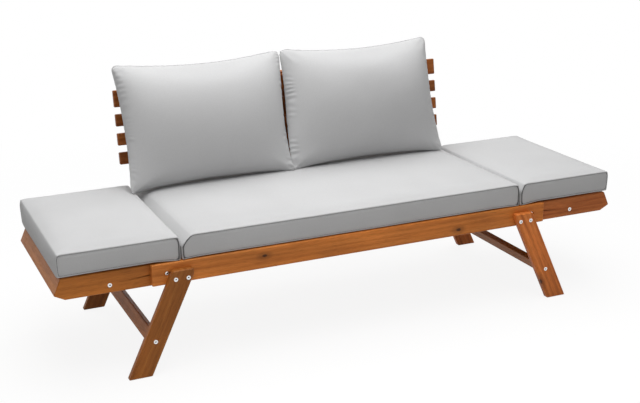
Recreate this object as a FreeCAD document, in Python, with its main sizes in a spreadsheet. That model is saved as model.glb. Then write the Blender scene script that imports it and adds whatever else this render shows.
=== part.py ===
import FreeCAD
import Part
import math
import os
import re
import Sketcher

# A garden sofa: a low wooden frame on four splayed legs, a slatted back, and
# two side wings that lie level with the seat or hinge up into arm rests.
# Millimetres, +Z up, +X along the length, the sitter faces -Y.

V = FreeCAD.Vector
doc = FreeCAD.newDocument("garden_sofa")
sheet = doc.addObject("Spreadsheet::Sheet", "Sizes")
next_row = [1]


def size(name, value):
    """Writes one named cell: a plain number, or a formula of other cells."""
    row = next_row[0]
    next_row[0] += 1
    text = "=" + value if isinstance(value, str) else str(value)
    sheet.set("A%d" % row, name)
    sheet.set("B%d" % row, text)
    sheet.setAlias("B%d" % row, name)


# Boards and where the frame stands
size("board_thick", 20)
size("board_height", 65)
size("edge_ease", 2)
size("bore_sides", 8)
size("rail_length", 1340)
size("rail_bottom", 270)
size("frame_depth", 548)
size("front_to_origin", 316.5)
size("rail_top", "rail_bottom + board_height")
size("half_rail", "rail_length / 2")
size("front_face", "-front_to_origin")
size("rear_face", "front_face + frame_depth")
size("mid_depth", "front_face + frame_depth / 2")

# Splayed legs: a straight board, its foot and top cut level, its inner top corner clipped
size("leg_splay", 25.2)
size("leg_width", 64)
size("leg_top", 315)
size("leg_foot_outer", 761)
size("leg_clip", 8)
size("leg_lean", "tan(leg_splay)")
size("leg_span", "leg_width / cos(leg_splay)")
size("leg_foot_inner", "leg_foot_outer - leg_span")
size("leg_top_outer", "leg_foot_outer - leg_top * leg_lean")
size("leg_clip_x", "leg_top_outer - leg_span + leg_clip")
size("leg_clip_z", "(leg_foot_inner - leg_clip_x) / leg_lean")
size("stretcher_width", 40)
size("stretcher_x", 675.5)
size("stretcher_z", 107.7)

# Bolts: flat round heads with a hexagon socket
size("head_radius", 6.6)
size("head_thick", 2.2)
size("socket_flats", 4)
size("leg_bolt_radius", 3)
size("pivot_bolt_radius", 4)
size("running_gap", 0.1)
size("insert_radius", 5.5)
size("insert_length", 14)
size("outer_bolt_x", 605.5)
size("inner_bolt_x", 567.5)
size("upper_bolt_z", 289.5)

# Seat: ledgers inside the rails carry slats that run front to rear
size("ledger_thick", 24)
size("ledger_half", 576)
size("slat_thick", 18)
size("seat_slat_count", 10)
size("seat_slat_width", 65)
size("seat_slat_half", 570)
size("slat_end_gap", 0.5)
size("ledger_height", "board_height - slat_thick")
size("seat_slat_pitch", "(2 * seat_slat_half - seat_slat_width) / (seat_slat_count - 1)")

# Back: three posts, kinked at the foot and tapered, and four leaning slats
size("back_lean", 8.92)
size("back_slope", "tan(back_lean)")
size("back_slat_thick", 15)
size("back_slat_half", 597)
size("back_slat_width", 40)
size("back_slat_top_width", 55)
size("back_slat_low", 478)
size("back_slat_pitch", 62)
size("back_front_at_low", "front_face + 573.5")
size("post_width", 40)
size("post_side_x", 450)
size("post_foot_deep", 50)
size("post_foot_top", 345)
size("post_neck", 420)
size("post_top", 723)
size("post_low_front", "back_front_at_low + back_slat_thick / cos(back_lean)")
size("post_foot_front", "frame_depth")
size("post_foot_rear", "frame_depth + post_foot_deep")
size("post_neck_front", "post_low_front + front_to_origin + (post_neck - back_slat_low) * back_slope")
size("post_top_front", "post_low_front + front_to_origin + (post_top - back_slat_low) * back_slope")
size("post_top_rear", "2 * front_to_origin + board_thick + head_thick")
size("post_bolt_low", 288)
size("post_bolt_high", 318)

# Wings: side rails inside the main rails, a slanted end board mitred to them
size("pivot_x", 623.5)
size("pivot_z", 303)
size("wing_gap", 1)
size("wing_drop", 4)
size("wing_nose", 30)
size("nose_round", 26)
size("wing_tip_x", 950)
size("wing_tip_z", 282.5)
size("wing_top_x", 928)
size("wing_low_x", 918)
size("wing_nose_x", "pivot_x - wing_nose")
size("wing_top", "rail_top - wing_drop")
size("wing_low", "wing_top - board_height")
size("wing_front", "front_face + board_thick + wing_gap")
size("wing_inner", "wing_front + board_thick")
size("end_run", "wing_tip_x - wing_top_x")
size("end_drop", "wing_top - wing_tip_z")
size("end_board_level", "board_thick * sqrt(end_run ^ 2 + end_drop ^ 2) / end_drop")
size("end_inner_x", "wing_top_x - end_board_level")
size("under_run", "wing_tip_x - wing_low_x")
size("under_drop", "wing_tip_z - wing_low")
size("end_slant", "sqrt(end_run ^ 2 + end_drop ^ 2)")
size("under_part", "board_thick * end_slant / (under_run * end_drop + under_drop * end_run)")
size("end_under_x", "wing_tip_x - under_part * under_run")
size("end_under_z", "wing_tip_z - under_part * under_drop")
size("wing_bolt_x", 789)
size("wing_bolt_z", 289.5)
size("wing_slat_count", 4)
size("wing_slat_width", 50)
size("wing_slat_start", 655)
size("wing_slat_pitch", 65)
size("housing_depth", 8)
size("wing_insert_radius", 6)

# Ratchet fittings inside the seat, one at each pivot
size("plate_thick", 3)
size("ratchet_root", 19.5)
size("ratchet_tip", 22)
size("tooth_count", 32)
size("arm_half_width", 11)
size("fixed_disc", 20)
size("fixed_arm_start", 495)
size("cap_nut_radius", 7)
size("cap_nut_length", 7)

# Cushions: thickness at the edge, crown above it, and how far the sides are drawn in
size("cushion_thick", 76)
size("cushion_crown", 9)
size("seat_joint_cut", 30)
size("wing_joint_cut", 6)
size("cushion_end_round", 11)
size("cushion_low_round", 15)
size("cushion_draw", 4)
size("seat_cushion_half", 576.5)
size("wing_cushion_start", 579.5)
size("wing_cushion_end", 931)
size("left_wing_cushion_end", 937)
size("left_wing_cushion_rise", 8)
size("cushion_front", "front_face + 3")
size("seat_cushion_rear", "front_face + 545")
size("wing_cushion_rear", "front_face + 543")
size("pillow_swell_front", 84)
size("pillow_swell_rear", 46)
size("pillow_corner", 17)
size("pillow_draw_top", 22)
size("pillow_draw_outer", 14)
size("pillow_draw_inner", 8)
size("pillow_draw_low", 1)
size("pillow_low", 418)
size("left_pillow_lean", 19.5)
size("left_pillow_foot", "front_face + 460")
size("left_pillow_high", 411)
size("left_pillow_start", -602)
size("left_pillow_end", -24)
size("right_pillow_lean", 19.5)
size("right_pillow_foot", "front_face + 452")
size("right_pillow_high", 414)
size("right_pillow_start", -19)
size("right_pillow_end", 541)

doc.recompute()
pieces = []


def num(name):
    """The value of one cell."""
    return float(sheet.get(name))


def bind(thing, prop, text):
    """Ties a property to an expression written with the names of cells."""
    linked = re.sub(r"\b([a-z_]+)\b(?!\()", r"Sizes.\1", text)
    thing.setExpression(prop, linked)


def keep(thing, label):
    """Names a finished piece and puts it on the list to write."""
    thing.Label = label
    pieces.append(thing)
    return thing


def board(name, lengths, corner):
    """A square-edged board from its three lengths and its lowest corner."""
    blank = doc.addObject("Part::Box", name)
    for prop, text in zip(("Length", "Width", "Height"), lengths):
        bind(blank, prop, text)
    for axis, text in zip("xyz", corner):
        bind(blank, "Placement.Base." + axis, text)
    return blank


def eased(name, blank):
    """Eases every edge of a board with a narrow chamfer."""
    doc.recompute()
    ease = num("edge_ease")
    soft = doc.addObject("Part::Chamfer", name)
    soft.Base = blank
    soft.Edges = [(k + 1, ease, ease) for k in range(len(blank.Shape.Edges))]
    return soft


def cut(name, base, tools):
    """Takes every tool away from a board."""
    result = base
    for k, tool in enumerate(tools):
        step = doc.addObject("Part::Cut", "%s_cut_%d" % (name, k))
        step.Base = result
        step.Tool = tool
        result = step
    return result


def bit(name, x, z, radius, start, depth, bearing=False):
    """A tool lying along Y, for boring a hole: round in a bearing, few-sided for a hidden bolt."""
    tool = doc.addObject("Part::Cylinder" if bearing else "Part::Prism", name)
    tool.Placement = FreeCAD.Placement(V(), FreeCAD.Rotation(V(1, 0, 0), -90))
    if bearing:
        bind(tool, "Radius", radius)
    else:
        tool.Polygon = int(num("bore_sides"))
        bind(tool, "Circumradius", radius)
    bind(tool, "Height", depth)
    for axis, text in zip("xyz", (x, start, z)):
        bind(tool, "Placement.Base." + axis, text)
    return tool


def mirrored(name, source, normal):
    """The same piece for the other end (normal X) or the other side (normal Y)."""
    twin = doc.addObject("Part::Mirroring", name)
    twin.Source = source
    twin.Normal = normal
    bind(twin, "Base.y", "mid_depth")
    return twin


def profile_body(name, role, corners, depth):
    """A padded outline on an origin plane. Each corner is a pair of cell names, 0 for the axis."""
    body = doc.addObject("PartDesign::Body", name)
    plane = [f for f in body.Origin.OriginFeatures if f.Role == role][0]
    sketch = body.newObject("Sketcher::SketchObject", name + "_outline")
    sketch.AttachmentSupport = [(plane, "")]
    sketch.MapMode = "FlatFace"
    points = [V(num(u) if u else 0, num(w) if w else 0, 0) for u, w in corners]
    count = len(points)
    for k in range(count):
        sketch.addGeometry(Part.LineSegment(points[k], points[(k + 1) % count]))
    for k in range(count):
        sketch.addConstraint(Sketcher.Constraint("Coincident", k, 2, (k + 1) % count, 1))
    for k, (u, w) in enumerate(corners):
        for kind, cell, axis in (("DistanceX", u, -2), ("DistanceY", w, -1)):
            if cell:
                index = sketch.addConstraint(Sketcher.Constraint(kind, -1, 1, k, 1, num(cell)))
                bind(sketch, "Constraints[%d]" % index, cell)
            else:
                sketch.addConstraint(Sketcher.Constraint("PointOnObject", k, 1, axis))
    pad = body.newObject("PartDesign::Pad", name + "_pad")
    pad.Profile = sketch
    bind(pad, "Length", depth)
    doc.recompute()
    if role == "XZ_Plane" and pad.Shape.BoundBox.YMax < 1:
        pad.Reversed = True
        doc.recompute()
    return body, pad


def edges_where(shape, test):
    """Names of the edges whose middle point passes a test."""
    names = []
    for k, edge in enumerate(shape.Edges):
        middle = edge.valueAt((edge.FirstParameter + edge.LastParameter) / 2)
        if test(middle):
            names.append("Edge%d" % (k + 1))
    return names


def dress_body(body, base, names, kind, cell):
    """Rounds (Fillet) or eases (Chamfer) the named edges of a body's last feature."""
    step = body.newObject("PartDesign::" + kind, body.Name + "_" + cell)
    step.Base = (base, names)
    bind(step, "Radius" if kind == "Fillet" else "Size", cell)
    body.Tip = step
    doc.recompute()
    return step


def plate(points, start, thick):
    """A flat plate standing in the XZ plane, from its outline."""
    wire = Part.makePolygon([V(x, start, z) for x, z in points + points[:1]])
    return Part.Face(wire).extrude(V(0, thick, 0))


def rod(x, z, radius, start, length):
    """A plain round bar along Y, for bearings."""
    return Part.makeCylinder(radius, length, V(x, start, z), V(0, 1, 0))


def bar_sides(x, z, radius, start, length, sides=8):
    """A few-sided bar along Y, for hidden shanks, nuts and plate holes."""
    points = []
    for k in range(sides):
        turn = 2 * math.pi * k / sides
        points.append((x + radius * math.cos(turn), z + radius * math.sin(turn)))
    return plate(points, start, length)


def bolt(x, z, radius, under_head, length, way=1, bearing=False):
    """A bolt along Y: its head lies before under_head, its shank runs on from it."""
    thick = num("head_thick")
    head_start = min(under_head, under_head - way * thick)
    shank_start = min(under_head, under_head + way * length)
    head = bar_sides(x, z, num("head_radius"), head_start, thick, 20)
    reach = num("socket_flats") / math.sqrt(3)
    socket_start = head_start if way > 0 else head_start + 0.6
    socket = bar_sides(x, z, reach, socket_start, thick - 0.6, 6)
    make_shank = rod if bearing else bar_sides
    shank = make_shank(x, z, radius, shank_start, length)
    return head.cut(socket).fuse(shank).removeSplitter()


def sleeve(x, z, outer, inner, start, length, sides=8):
    """A short tube along Y: a nut, an insert or a washer."""
    return bar_sides(x, z, outer, start, length, sides).cut(bar_sides(x, z, inner, start, length))


def flip(shape, across_x, across_y):
    """Mirrors a shape to the other end, the other side, or both."""
    result = shape
    if across_x:
        result = result.mirror(V(0, 0, 0), V(1, 0, 0))
    if across_y:
        result = result.mirror(V(0, num("mid_depth"), 0), V(0, 1, 0))
    return result


def group(label, shapes):
    """Several small separate solids kept as one piece."""
    solids = []
    for shape in shapes:
        solids.extend(shape.Solids)
    thing = doc.addObject("Part::Feature", label)
    thing.Shape = Part.makeCompound(solids)
    return keep(thing, label)


def solid_piece(label, shape):
    """A piece whose outline is worked out point by point."""
    thing = doc.addObject("Part::Feature", label)
    thing.Shape = shape.Solids[0]
    return keep(thing, label)


# Main rails, bored for the leg bolts, their inserts and the wing pivots
CORNERS = [(False, False), (True, False), (False, True), (True, True)]
SIDES = [("right", ""), ("left", "-")]
rail_blank = board("front_rail_blank", ("rail_length", "board_thick", "board_height"),
                   ("-half_rail", "front_face", "rail_bottom"))
rail_soft = eased("front_rail_eased", rail_blank)
rail_bits = []
for side, sign in SIDES:
    rail_bits.append(bit("rail_outer_hole_" + side, sign + "outer_bolt_x", "upper_bolt_z",
                         "leg_bolt_radius + running_gap", "front_face - 1", "board_thick + 2"))
    rail_bits.append(bit("rail_insert_hole_" + side, sign + "outer_bolt_x", "upper_bolt_z",
                         "insert_radius", "front_face + board_thick - insert_length", "insert_length + 1"))
    rail_bits.append(bit("rail_inner_hole_" + side, sign + "inner_bolt_x", "upper_bolt_z",
                         "leg_bolt_radius + running_gap", "front_face - 1", "board_thick + 2"))
    rail_bits.append(bit("rail_pivot_hole_" + side, sign + "pivot_x", "pivot_z",
                         "pivot_bolt_radius + running_gap", "front_face - 1", "board_thick + 2", True))
    rail_bits.append(bit("rail_pivot_seat_" + side, sign + "pivot_x", "pivot_z",
                         "head_radius + 1", "front_face - 1", "6", True))
front_rail = keep(cut("front_rail", rail_soft, rail_bits), "front_rail")

# The rear rail is the same board turned round, with holes for the post bolts as well
post_bits = []
for k, post_x in enumerate(("-post_side_x", "post_side_x - post_side_x", "post_side_x")):
    for level in ("post_bolt_low", "post_bolt_high"):
        post_bits.append(bit("post_hole_%d_%s" % (k, level), post_x, level,
                             "insert_radius", "rear_face - board_thick - 1", "board_thick + 2"))
rear_blank = mirrored("rear_rail_blank", front_rail, V(0, 1, 0))
rear_rail = keep(cut("rear_rail", rear_blank, post_bits), "rear_rail")

# Legs on the outer faces of the rails
leg_corners = [("leg_foot_inner", 0), ("leg_foot_outer", 0), ("leg_top_outer", "leg_top"),
               ("leg_clip_x", "leg_top"), ("leg_clip_x", "leg_clip_z")]
leg_body, leg_pad = profile_body("leg_outline", "XZ_Plane", leg_corners, "board_thick")
bind(leg_body, "Placement.Base.y", "front_face - board_thick")
dress_body(leg_body, leg_pad, edges_where(leg_pad.Shape, lambda p: True), "Chamfer", "edge_ease")
leg_bits = []
for k, (hole_x, hole_z) in enumerate((("outer_bolt_x", "upper_bolt_z"), ("inner_bolt_x", "upper_bolt_z"),
                                      ("stretcher_x", "stretcher_z"))):
    leg_bits.append(bit("leg_hole_%d" % k, hole_x, hole_z, "leg_bolt_radius + running_gap",
                        "front_face - board_thick - 1", "board_thick + 2"))
leg = keep(cut("leg", leg_body, leg_bits), "leg_front_right")
keep(mirrored("leg_front_left", leg, V(1, 0, 0)), "leg_front_left")
rear_leg = keep(mirrored("leg_rear_right", leg, V(0, 1, 0)), "leg_rear_right")
keep(mirrored("leg_rear_left", rear_leg, V(1, 0, 0)), "leg_rear_left")

# Stretchers between the legs, standing in line with the splay
bar = doc.addObject("Part::Box", "stretcher_blank")
bind(bar, "Length", "board_thick")
bind(bar, "Width", "frame_depth")
bind(bar, "Height", "stretcher_width")
bar.Placement.Rotation = FreeCAD.Rotation(V(0, 1, 0), -num("leg_splay"))
bind(bar, "Placement.Base.x",
     "stretcher_x - board_thick / 2 * cos(leg_splay) + stretcher_width / 2 * sin(leg_splay)")
bind(bar, "Placement.Base.y", "front_face")
bind(bar, "Placement.Base.z",
     "stretcher_z - board_thick / 2 * sin(leg_splay) - stretcher_width / 2 * cos(leg_splay)")
bar_soft = eased("stretcher_eased", bar)
bar_bits = []
for k, start in enumerate(("front_face - 1", "rear_face - 32")):
    bar_bits.append(bit("stretcher_hole_%d" % k, "stretcher_x", "stretcher_z",
                        "leg_bolt_radius + running_gap", start, "33"))
for k, start in enumerate(("front_face - 1", "rear_face - insert_length")):
    bar_bits.append(bit("stretcher_insert_%d" % k, "stretcher_x", "stretcher_z",
                        "insert_radius", start, "insert_length + 1"))
stretcher = keep(cut("stretcher", bar_soft, bar_bits), "leg_stretcher_right")
keep(mirrored("leg_stretcher_left", stretcher, V(1, 0, 0)), "leg_stretcher_left")

# Seat ledgers and slats
ledger_blank = board("ledger_blank", ("2 * ledger_half", "ledger_thick", "ledger_height"),
                     ("-ledger_half", "front_face + board_thick", "rail_bottom"))
ledger_bits = []
for side, sign in SIDES:
    ledger_hole = bit("ledger_hole_" + side, sign + "inner_bolt_x", "upper_bolt_z",
                      "leg_bolt_radius + running_gap", "front_face + board_thick - 1", "ledger_thick + 2")
    ledger_bits.append(ledger_hole)
ledger = keep(cut("ledger", ledger_blank, ledger_bits), "seat_ledger_front")
keep(mirrored("seat_ledger_rear", ledger, V(0, 1, 0)), "seat_ledger_rear")
for k in range(int(num("seat_slat_count"))):
    slat = board("seat_slat_%02d" % (k + 1),
                 ("seat_slat_width", "frame_depth - 2 * board_thick - 2 * slat_end_gap", "slat_thick"),
                 ("-seat_slat_half + %d * seat_slat_pitch" % k, "front_face + board_thick + slat_end_gap",
                  "rail_top - slat_thick"))
    keep(slat, "seat_slat_%02d" % (k + 1))

# Back posts: upright foot against the rail, kinked neck, tapered to the top
post_corners = [("post_foot_front", "rail_bottom"), ("post_foot_rear", "rail_bottom"),
                ("post_foot_rear", "post_foot_top"), ("post_top_rear", "post_top"),
                ("post_top_front", "post_top"), ("post_neck_front", "post_neck"),
                ("post_foot_front", "post_foot_top")]
post_body, post_pad = profile_body("post_outline", "YZ_Plane", post_corners, "post_width")
bind(post_body, "Placement.Base.x", "-post_width / 2")
bind(post_body, "Placement.Base.y", "front_face")
flat_sides = edges_where(post_pad.Shape, lambda p: abs(p.x) < 1e-6 or abs(p.x - num("post_width")) < 1e-6)
dress_body(post_body, post_pad, flat_sides, "Chamfer", "edge_ease")
post_bores = []
for level in ("post_bolt_low", "post_bolt_high"):
    post_bores.append(bit("post_bore_" + level, "post_side_x - post_side_x", level,
                          "leg_bolt_radius + running_gap", "rear_face - 1", "post_foot_deep + 2"))
post = keep(cut("post", post_body, post_bores), "back_post_centre")
for side, sign in SIDES:
    twin = doc.addObject("Part::Compound", "back_post_%s_group" % side)
    twin.Links = [post]
    bind(twin, "Placement.Base.x", sign + "post_side_x")
    keep(twin, "back_post_" + side)

# Back slats, the top one wider, all leaning with the posts
for k, label in enumerate(("back_slat_low", "back_slat_lower_mid", "back_slat_upper_mid", "back_slat_top")):
    width = "back_slat_top_width" if label == "back_slat_top" else "back_slat_width"
    slat = board(label + "_blank", ("2 * back_slat_half", "back_slat_thick", width),
                 ("-back_slat_half", "back_front_at_low + %d * back_slat_pitch * back_slope" % k,
                  "back_slat_low + %d * back_slat_pitch" % k))
    slat.Placement.Rotation = FreeCAD.Rotation(V(1, 0, 0), -num("back_lean"))
    keep(eased(label + "_eased", slat), label)

# Wing side rail: rounded nose at the pivot, slanted end, housings for the slats
rail_corners = [("wing_nose_x", "wing_low"), ("wing_low_x", "wing_low"), ("wing_tip_x", "wing_tip_z"),
                ("wing_top_x", "wing_top"), ("wing_nose_x", "wing_top")]
wing_body, wing_pad = profile_body("wing_rail_outline", "XZ_Plane", rail_corners, "board_thick")
bind(wing_body, "Placement.Base.y", "wing_front")
nose = edges_where(wing_pad.Shape, lambda p: abs(p.x - num("wing_nose_x")) < 1e-6 and abs(p.y - 10) < 1)
nose_fillet = dress_body(wing_body, wing_pad, nose, "Fillet", "nose_round")
faces = edges_where(nose_fillet.Shape, lambda p: abs(p.y) < 1e-6 or abs(p.y - num("board_thick")) < 1e-6)
dress_body(wing_body, nose_fillet, faces, "Chamfer", "edge_ease")

# Blocks on the two sides of the mitre plane at the wing's front outer corner
run = num("end_run") / num("end_drop")
lift = 30.0
fall = V(run, 0, -1) * (num("board_height") + 2 * lift)
corner_top = V(num("wing_top_x") - run * lift, num("wing_front"), num("wing_top") + lift)
inward = V(-num("end_board_level"), num("board_thick"), 0)
outer_end = corner_top - inward
inner_end = corner_top + inward * 2
past = V(120, 0, 0)
outer_block = doc.addObject("Part::Feature", "mitre_outer_block")
outer_block.Shape = Part.Face(Part.makePolygon(
    [outer_end, inner_end, inner_end + past, outer_end + past, outer_end])).extrude(fall)
inner_block = doc.addObject("Part::Feature", "mitre_inner_block")
inner_block.Shape = Part.Face(Part.makePolygon(
    [outer_end, inner_end, inner_end - past, outer_end - past, outer_end])).extrude(fall)

wing_tools = [outer_block]
wing_tools.append(bit("wing_pivot_hole", "pivot_x", "pivot_z", "pivot_bolt_radius + running_gap",
                      "wing_front - 1", "board_thick + 2", True))
wing_tools.append(bit("wing_bolt_hole", "wing_bolt_x", "wing_bolt_z", "pivot_bolt_radius + running_gap",
                      "wing_front - 1", "board_thick + 2"))
for k in range(int(num("wing_slat_count"))):
    housing = board("wing_housing_%d" % k,
                    ("wing_slat_width", "housing_depth + 1", "slat_thick + 2"),
                    ("wing_slat_start + %d * wing_slat_pitch" % k, "wing_inner - housing_depth",
                     "wing_top - slat_thick"))
    wing_tools.append(housing)
wing_rail = keep(cut("wing_rail", wing_body, wing_tools), "right_wing_rail_front")
keep(mirrored("left_wing_rail_front", wing_rail, V(1, 0, 0)), "left_wing_rail_front")
wing_rail_rear = keep(mirrored("right_wing_rail_rear", wing_rail, V(0, 1, 0)), "right_wing_rail_rear")
keep(mirrored("left_wing_rail_rear", wing_rail_rear, V(1, 0, 0)), "left_wing_rail_rear")

# Wing end board, leaning outward and mitred at both corners
end_corners = [("end_under_x", "end_under_z"), ("wing_tip_x", "wing_tip_z"),
               ("wing_top_x", "wing_top"), ("end_inner_x", "wing_top")]
end_body, end_pad = profile_body("end_board_outline", "XZ_Plane", end_corners,
                                 "frame_depth - 2 * board_thick - 2 * wing_gap")
bind(end_body, "Placement.Base.y", "wing_front")
long_edges = edges_where(end_pad.Shape, lambda p: 50 < p.y < num("frame_depth") - 90)
dress_body(end_body, end_pad, long_edges, "Chamfer", "edge_ease")
rear_block = mirrored("mitre_rear_block", inner_block, V(0, 1, 0))
end_board = keep(cut("end_board", end_body, [inner_block, rear_block]), "right_wing_end_board")
keep(mirrored("left_wing_end_board", end_board, V(1, 0, 0)), "left_wing_end_board")

# Wing cross rail, held between the ratchet arms by the wing bolts
cross_blank = board("cross_rail_blank",
                    ("board_thick", "frame_depth - 4 * board_thick - 2 * wing_gap - 2 * plate_thick",
                     "board_height - slat_thick"),
                    ("wing_bolt_x - board_thick / 2", "wing_inner + plate_thick", "wing_low"))
cross_bits = [bit("cross_hole", "wing_bolt_x", "wing_bolt_z", "wing_insert_radius",
                  "wing_inner + plate_thick - 1", "31")]
cross_bits.append(mirrored("cross_hole_rear", cross_bits[0], V(0, 1, 0)))
cross_rail = keep(cut("cross_rail", cross_blank, cross_bits), "right_wing_cross_rail")
keep(mirrored("left_wing_cross_rail", cross_rail, V(1, 0, 0)), "left_wing_cross_rail")

# Wing slats, let into the side rails
wing_slats = []
slat_start = num("wing_inner") - num("housing_depth") + num("slat_end_gap")
slat_long = 2 * (num("mid_depth") - slat_start)
for k in range(int(num("wing_slat_count"))):
    place = V(num("wing_slat_start") + k * num("wing_slat_pitch") + num("slat_end_gap") / 2, slat_start,
              num("wing_top") - num("slat_thick"))
    wing_slats.append(Part.makeBox(num("wing_slat_width") - num("slat_end_gap"), slat_long,
                                   num("slat_thick"), place))
group("right_wing_slats", wing_slats)
group("left_wing_slats", [flip(s, True, False) for s in wing_slats])

# Ratchet arms that turn with the wing: teeth round the pivot, an arm out to the wing bolt
pivot_x = num("pivot_x")
pivot_z = num("pivot_z")
plate_start = num("wing_inner")
teeth = []
tooth_step = 360.0 / num("tooth_count")
for k in range(int(num("tooth_count"))):
    for radius, share in ((num("ratchet_tip"), 0.0), (num("ratchet_root"), 0.12)):
        turn = math.radians((k + share) * tooth_step)
        teeth.append((pivot_x + radius * math.cos(turn), pivot_z + radius * math.sin(turn)))
wheel = plate(teeth, plate_start, num("plate_thick"))
slope = math.atan2(num("wing_bolt_z") - pivot_z, num("wing_bolt_x") - pivot_x)
side_x = -num("arm_half_width") * math.sin(slope)
side_z = num("arm_half_width") * math.cos(slope)
arm_outline = [(pivot_x + side_x, pivot_z + side_z), (pivot_x - side_x, pivot_z - side_z),
               (num("wing_bolt_x") - side_x, num("wing_bolt_z") - side_z),
               (num("wing_bolt_x") + side_x, num("wing_bolt_z") + side_z)]
arm = plate(arm_outline, plate_start, num("plate_thick"))
arm_end = bar_sides(num("wing_bolt_x"), num("wing_bolt_z"), num("arm_half_width"), plate_start,
                    num("plate_thick"), 24)
moving_arm = wheel.fuse([arm, arm_end]).removeSplitter()
bolt_gap = num("pivot_bolt_radius") + num("running_gap")
pin_gap = bolt_gap / math.cos(math.pi / 16) + 0.1
moving_arm = moving_arm.cut(bar_sides(pivot_x, pivot_z, pin_gap, plate_start - 1, 9, 16))
moving_arm = moving_arm.cut(bar_sides(num("wing_bolt_x"), num("wing_bolt_z"), bolt_gap, plate_start - 1, 9))
for across_x, across_y in CORNERS:
    label = "%s_wing_ratchet_%s" % ("left" if across_x else "right", "rear" if across_y else "front")
    solid_piece(label, flip(moving_arm, across_x, across_y))

# Ratchet arms fixed to the ledgers, with a pawl behind each
fixed_start = num("front_face") + num("board_thick") + num("ledger_thick")
half = num("arm_half_width") + 1.5
level = num("upper_bolt_z")
strip = plate([(num("fixed_arm_start"), level - half), (pivot_x - 14, level - half),
               (pivot_x - 14, level + half), (num("fixed_arm_start"), level + half)],
              fixed_start, num("plate_thick"))
disc = bar_sides(pivot_x, pivot_z, num("fixed_disc"), fixed_start, num("plate_thick"), 36)
fixed_arm = strip.fuse(disc).removeSplitter()
fixed_arm = fixed_arm.cut(bar_sides(pivot_x, pivot_z, pin_gap, fixed_start - 1, 9, 16))
leg_gap = num("leg_bolt_radius") + num("running_gap")
fixed_arm = fixed_arm.cut(bar_sides(num("inner_bolt_x"), level, leg_gap, fixed_start - 1, 9))
fixed_arm = fixed_arm.cut(bar_sides(num("fixed_arm_start") + 20, level, 2.2, fixed_start - 1, 9))
tip_turn = math.radians(203)
tip_radius = num("ratchet_tip") + 0.4
tip = (pivot_x + tip_radius * math.cos(tip_turn), pivot_z + tip_radius * math.sin(tip_turn))
pawl_outline = [tip, (tip[0] - 4, tip[1] + 5), (tip[0] - 20, tip[1] - 2), (tip[0] - 21, tip[1] - 11),
                (tip[0] - 11, tip[1] - 12)]
pawl = plate(pawl_outline, fixed_start - num("plate_thick"), num("plate_thick"))
pawls = []
for across_x, across_y in CORNERS:
    label = "ratchet_arm_%s_%s" % ("rear" if across_y else "front", "left" if across_x else "right")
    solid_piece(label, flip(fixed_arm, across_x, across_y))
    pawls.append(flip(pawl, across_x, across_y))
group("ratchet_pawls", pawls)

# Fasteners, each kind as one group
front = num("front_face")
leg_face = front - num("board_thick")
leg_radius = num("leg_bolt_radius")
thick = num("board_thick")
leg_bolts = []
inserts = []
through_nuts = []
washers = []
for across_x, across_y in CORNERS:
    short = bolt(num("outer_bolt_x"), level, leg_radius, leg_face, 2 * thick - 1)
    long_bolt = bolt(num("inner_bolt_x"), level, leg_radius, leg_face, fixed_start - leg_face + 9)
    low = bolt(num("stretcher_x"), num("stretcher_z"), leg_radius, leg_face, 48)
    for shape in (short, long_bolt, low):
        leg_bolts.append(flip(shape, across_x, across_y))
    in_rail = sleeve(num("outer_bolt_x"), level, num("insert_radius"), leg_radius,
                     front + thick - num("insert_length"), num("insert_length"))
    in_bar = sleeve(num("stretcher_x"), num("stretcher_z"), num("insert_radius"), leg_radius,
                    front, num("insert_length"))
    for shape in (in_rail, in_bar):
        inserts.append(flip(shape, across_x, across_y))
    nut = sleeve(num("inner_bolt_x"), level, 5.5, leg_radius, fixed_start + num("plate_thick"), 5, 6)
    through_nuts.append(flip(nut, across_x, across_y))
    washer = sleeve(pivot_x, pivot_z, 12, num("pivot_bolt_radius") + 0.7, front + thick + 0.05, 0.9, 24)
    washers.append(flip(washer, across_x, across_y))
post_bolts = []
for post_x in (-num("post_side_x"), 0.0, num("post_side_x")):
    for post_z in (num("post_bolt_low"), num("post_bolt_high")):
        rear = num("rear_face") + num("post_foot_deep")
        post_bolts.append(bolt(post_x, post_z, leg_radius, rear, num("post_foot_deep") + thick - 2, -1))
        inserts.append(sleeve(post_x, post_z, num("insert_radius"), leg_radius,
                              num("rear_face") - thick, thick))
group("leg_bolts", leg_bolts)
group("insert_nuts", inserts)
group("ratchet_nuts", through_nuts)
group("post_bolts", post_bolts)
group("pivot_washers", washers)

# Pivot and wing bolts with their nuts, which turn with each wing
nut_start = fixed_start + num("plate_thick") + 0.1
for side, across_x in (("right", False), ("left", True)):
    bolts = []
    nuts = []
    for across_y in (False, True):
        head_under = front + 4.9
        pin = bolt(pivot_x, pivot_z, num("pivot_bolt_radius"), head_under, nut_start - head_under, 1, True)
        held = bolt(num("wing_bolt_x"), num("wing_bolt_z"), num("pivot_bolt_radius"),
                    num("wing_front"), thick + num("plate_thick") + 27)
        for shape in (pin, held):
            bolts.append(flip(shape, across_x, across_y))
        cap = bar_sides(pivot_x, pivot_z, num("cap_nut_radius"), nut_start, num("cap_nut_length"), 6)
        cross_insert = sleeve(num("wing_bolt_x"), num("wing_bolt_z"), num("wing_insert_radius"),
                              num("pivot_bolt_radius"), num("wing_inner") + num("plate_thick") + 8, 18)
        for shape in (cap, cross_insert):
            nuts.append(flip(shape, across_x, across_y))
    group(side + "_wing_bolts", bolts)
    group(side + "_wing_nuts", nuts)


def corner_points(centre_u, centre_w, radius, first_turn):
    """Four points round a quarter corner, for three short straight edges."""
    points = []
    for k in range(4):
        turn = math.radians(first_turn + 30 * k)
        points.append((centre_u + radius * math.cos(turn), centre_w + radius * math.sin(turn)))
    return points


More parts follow.
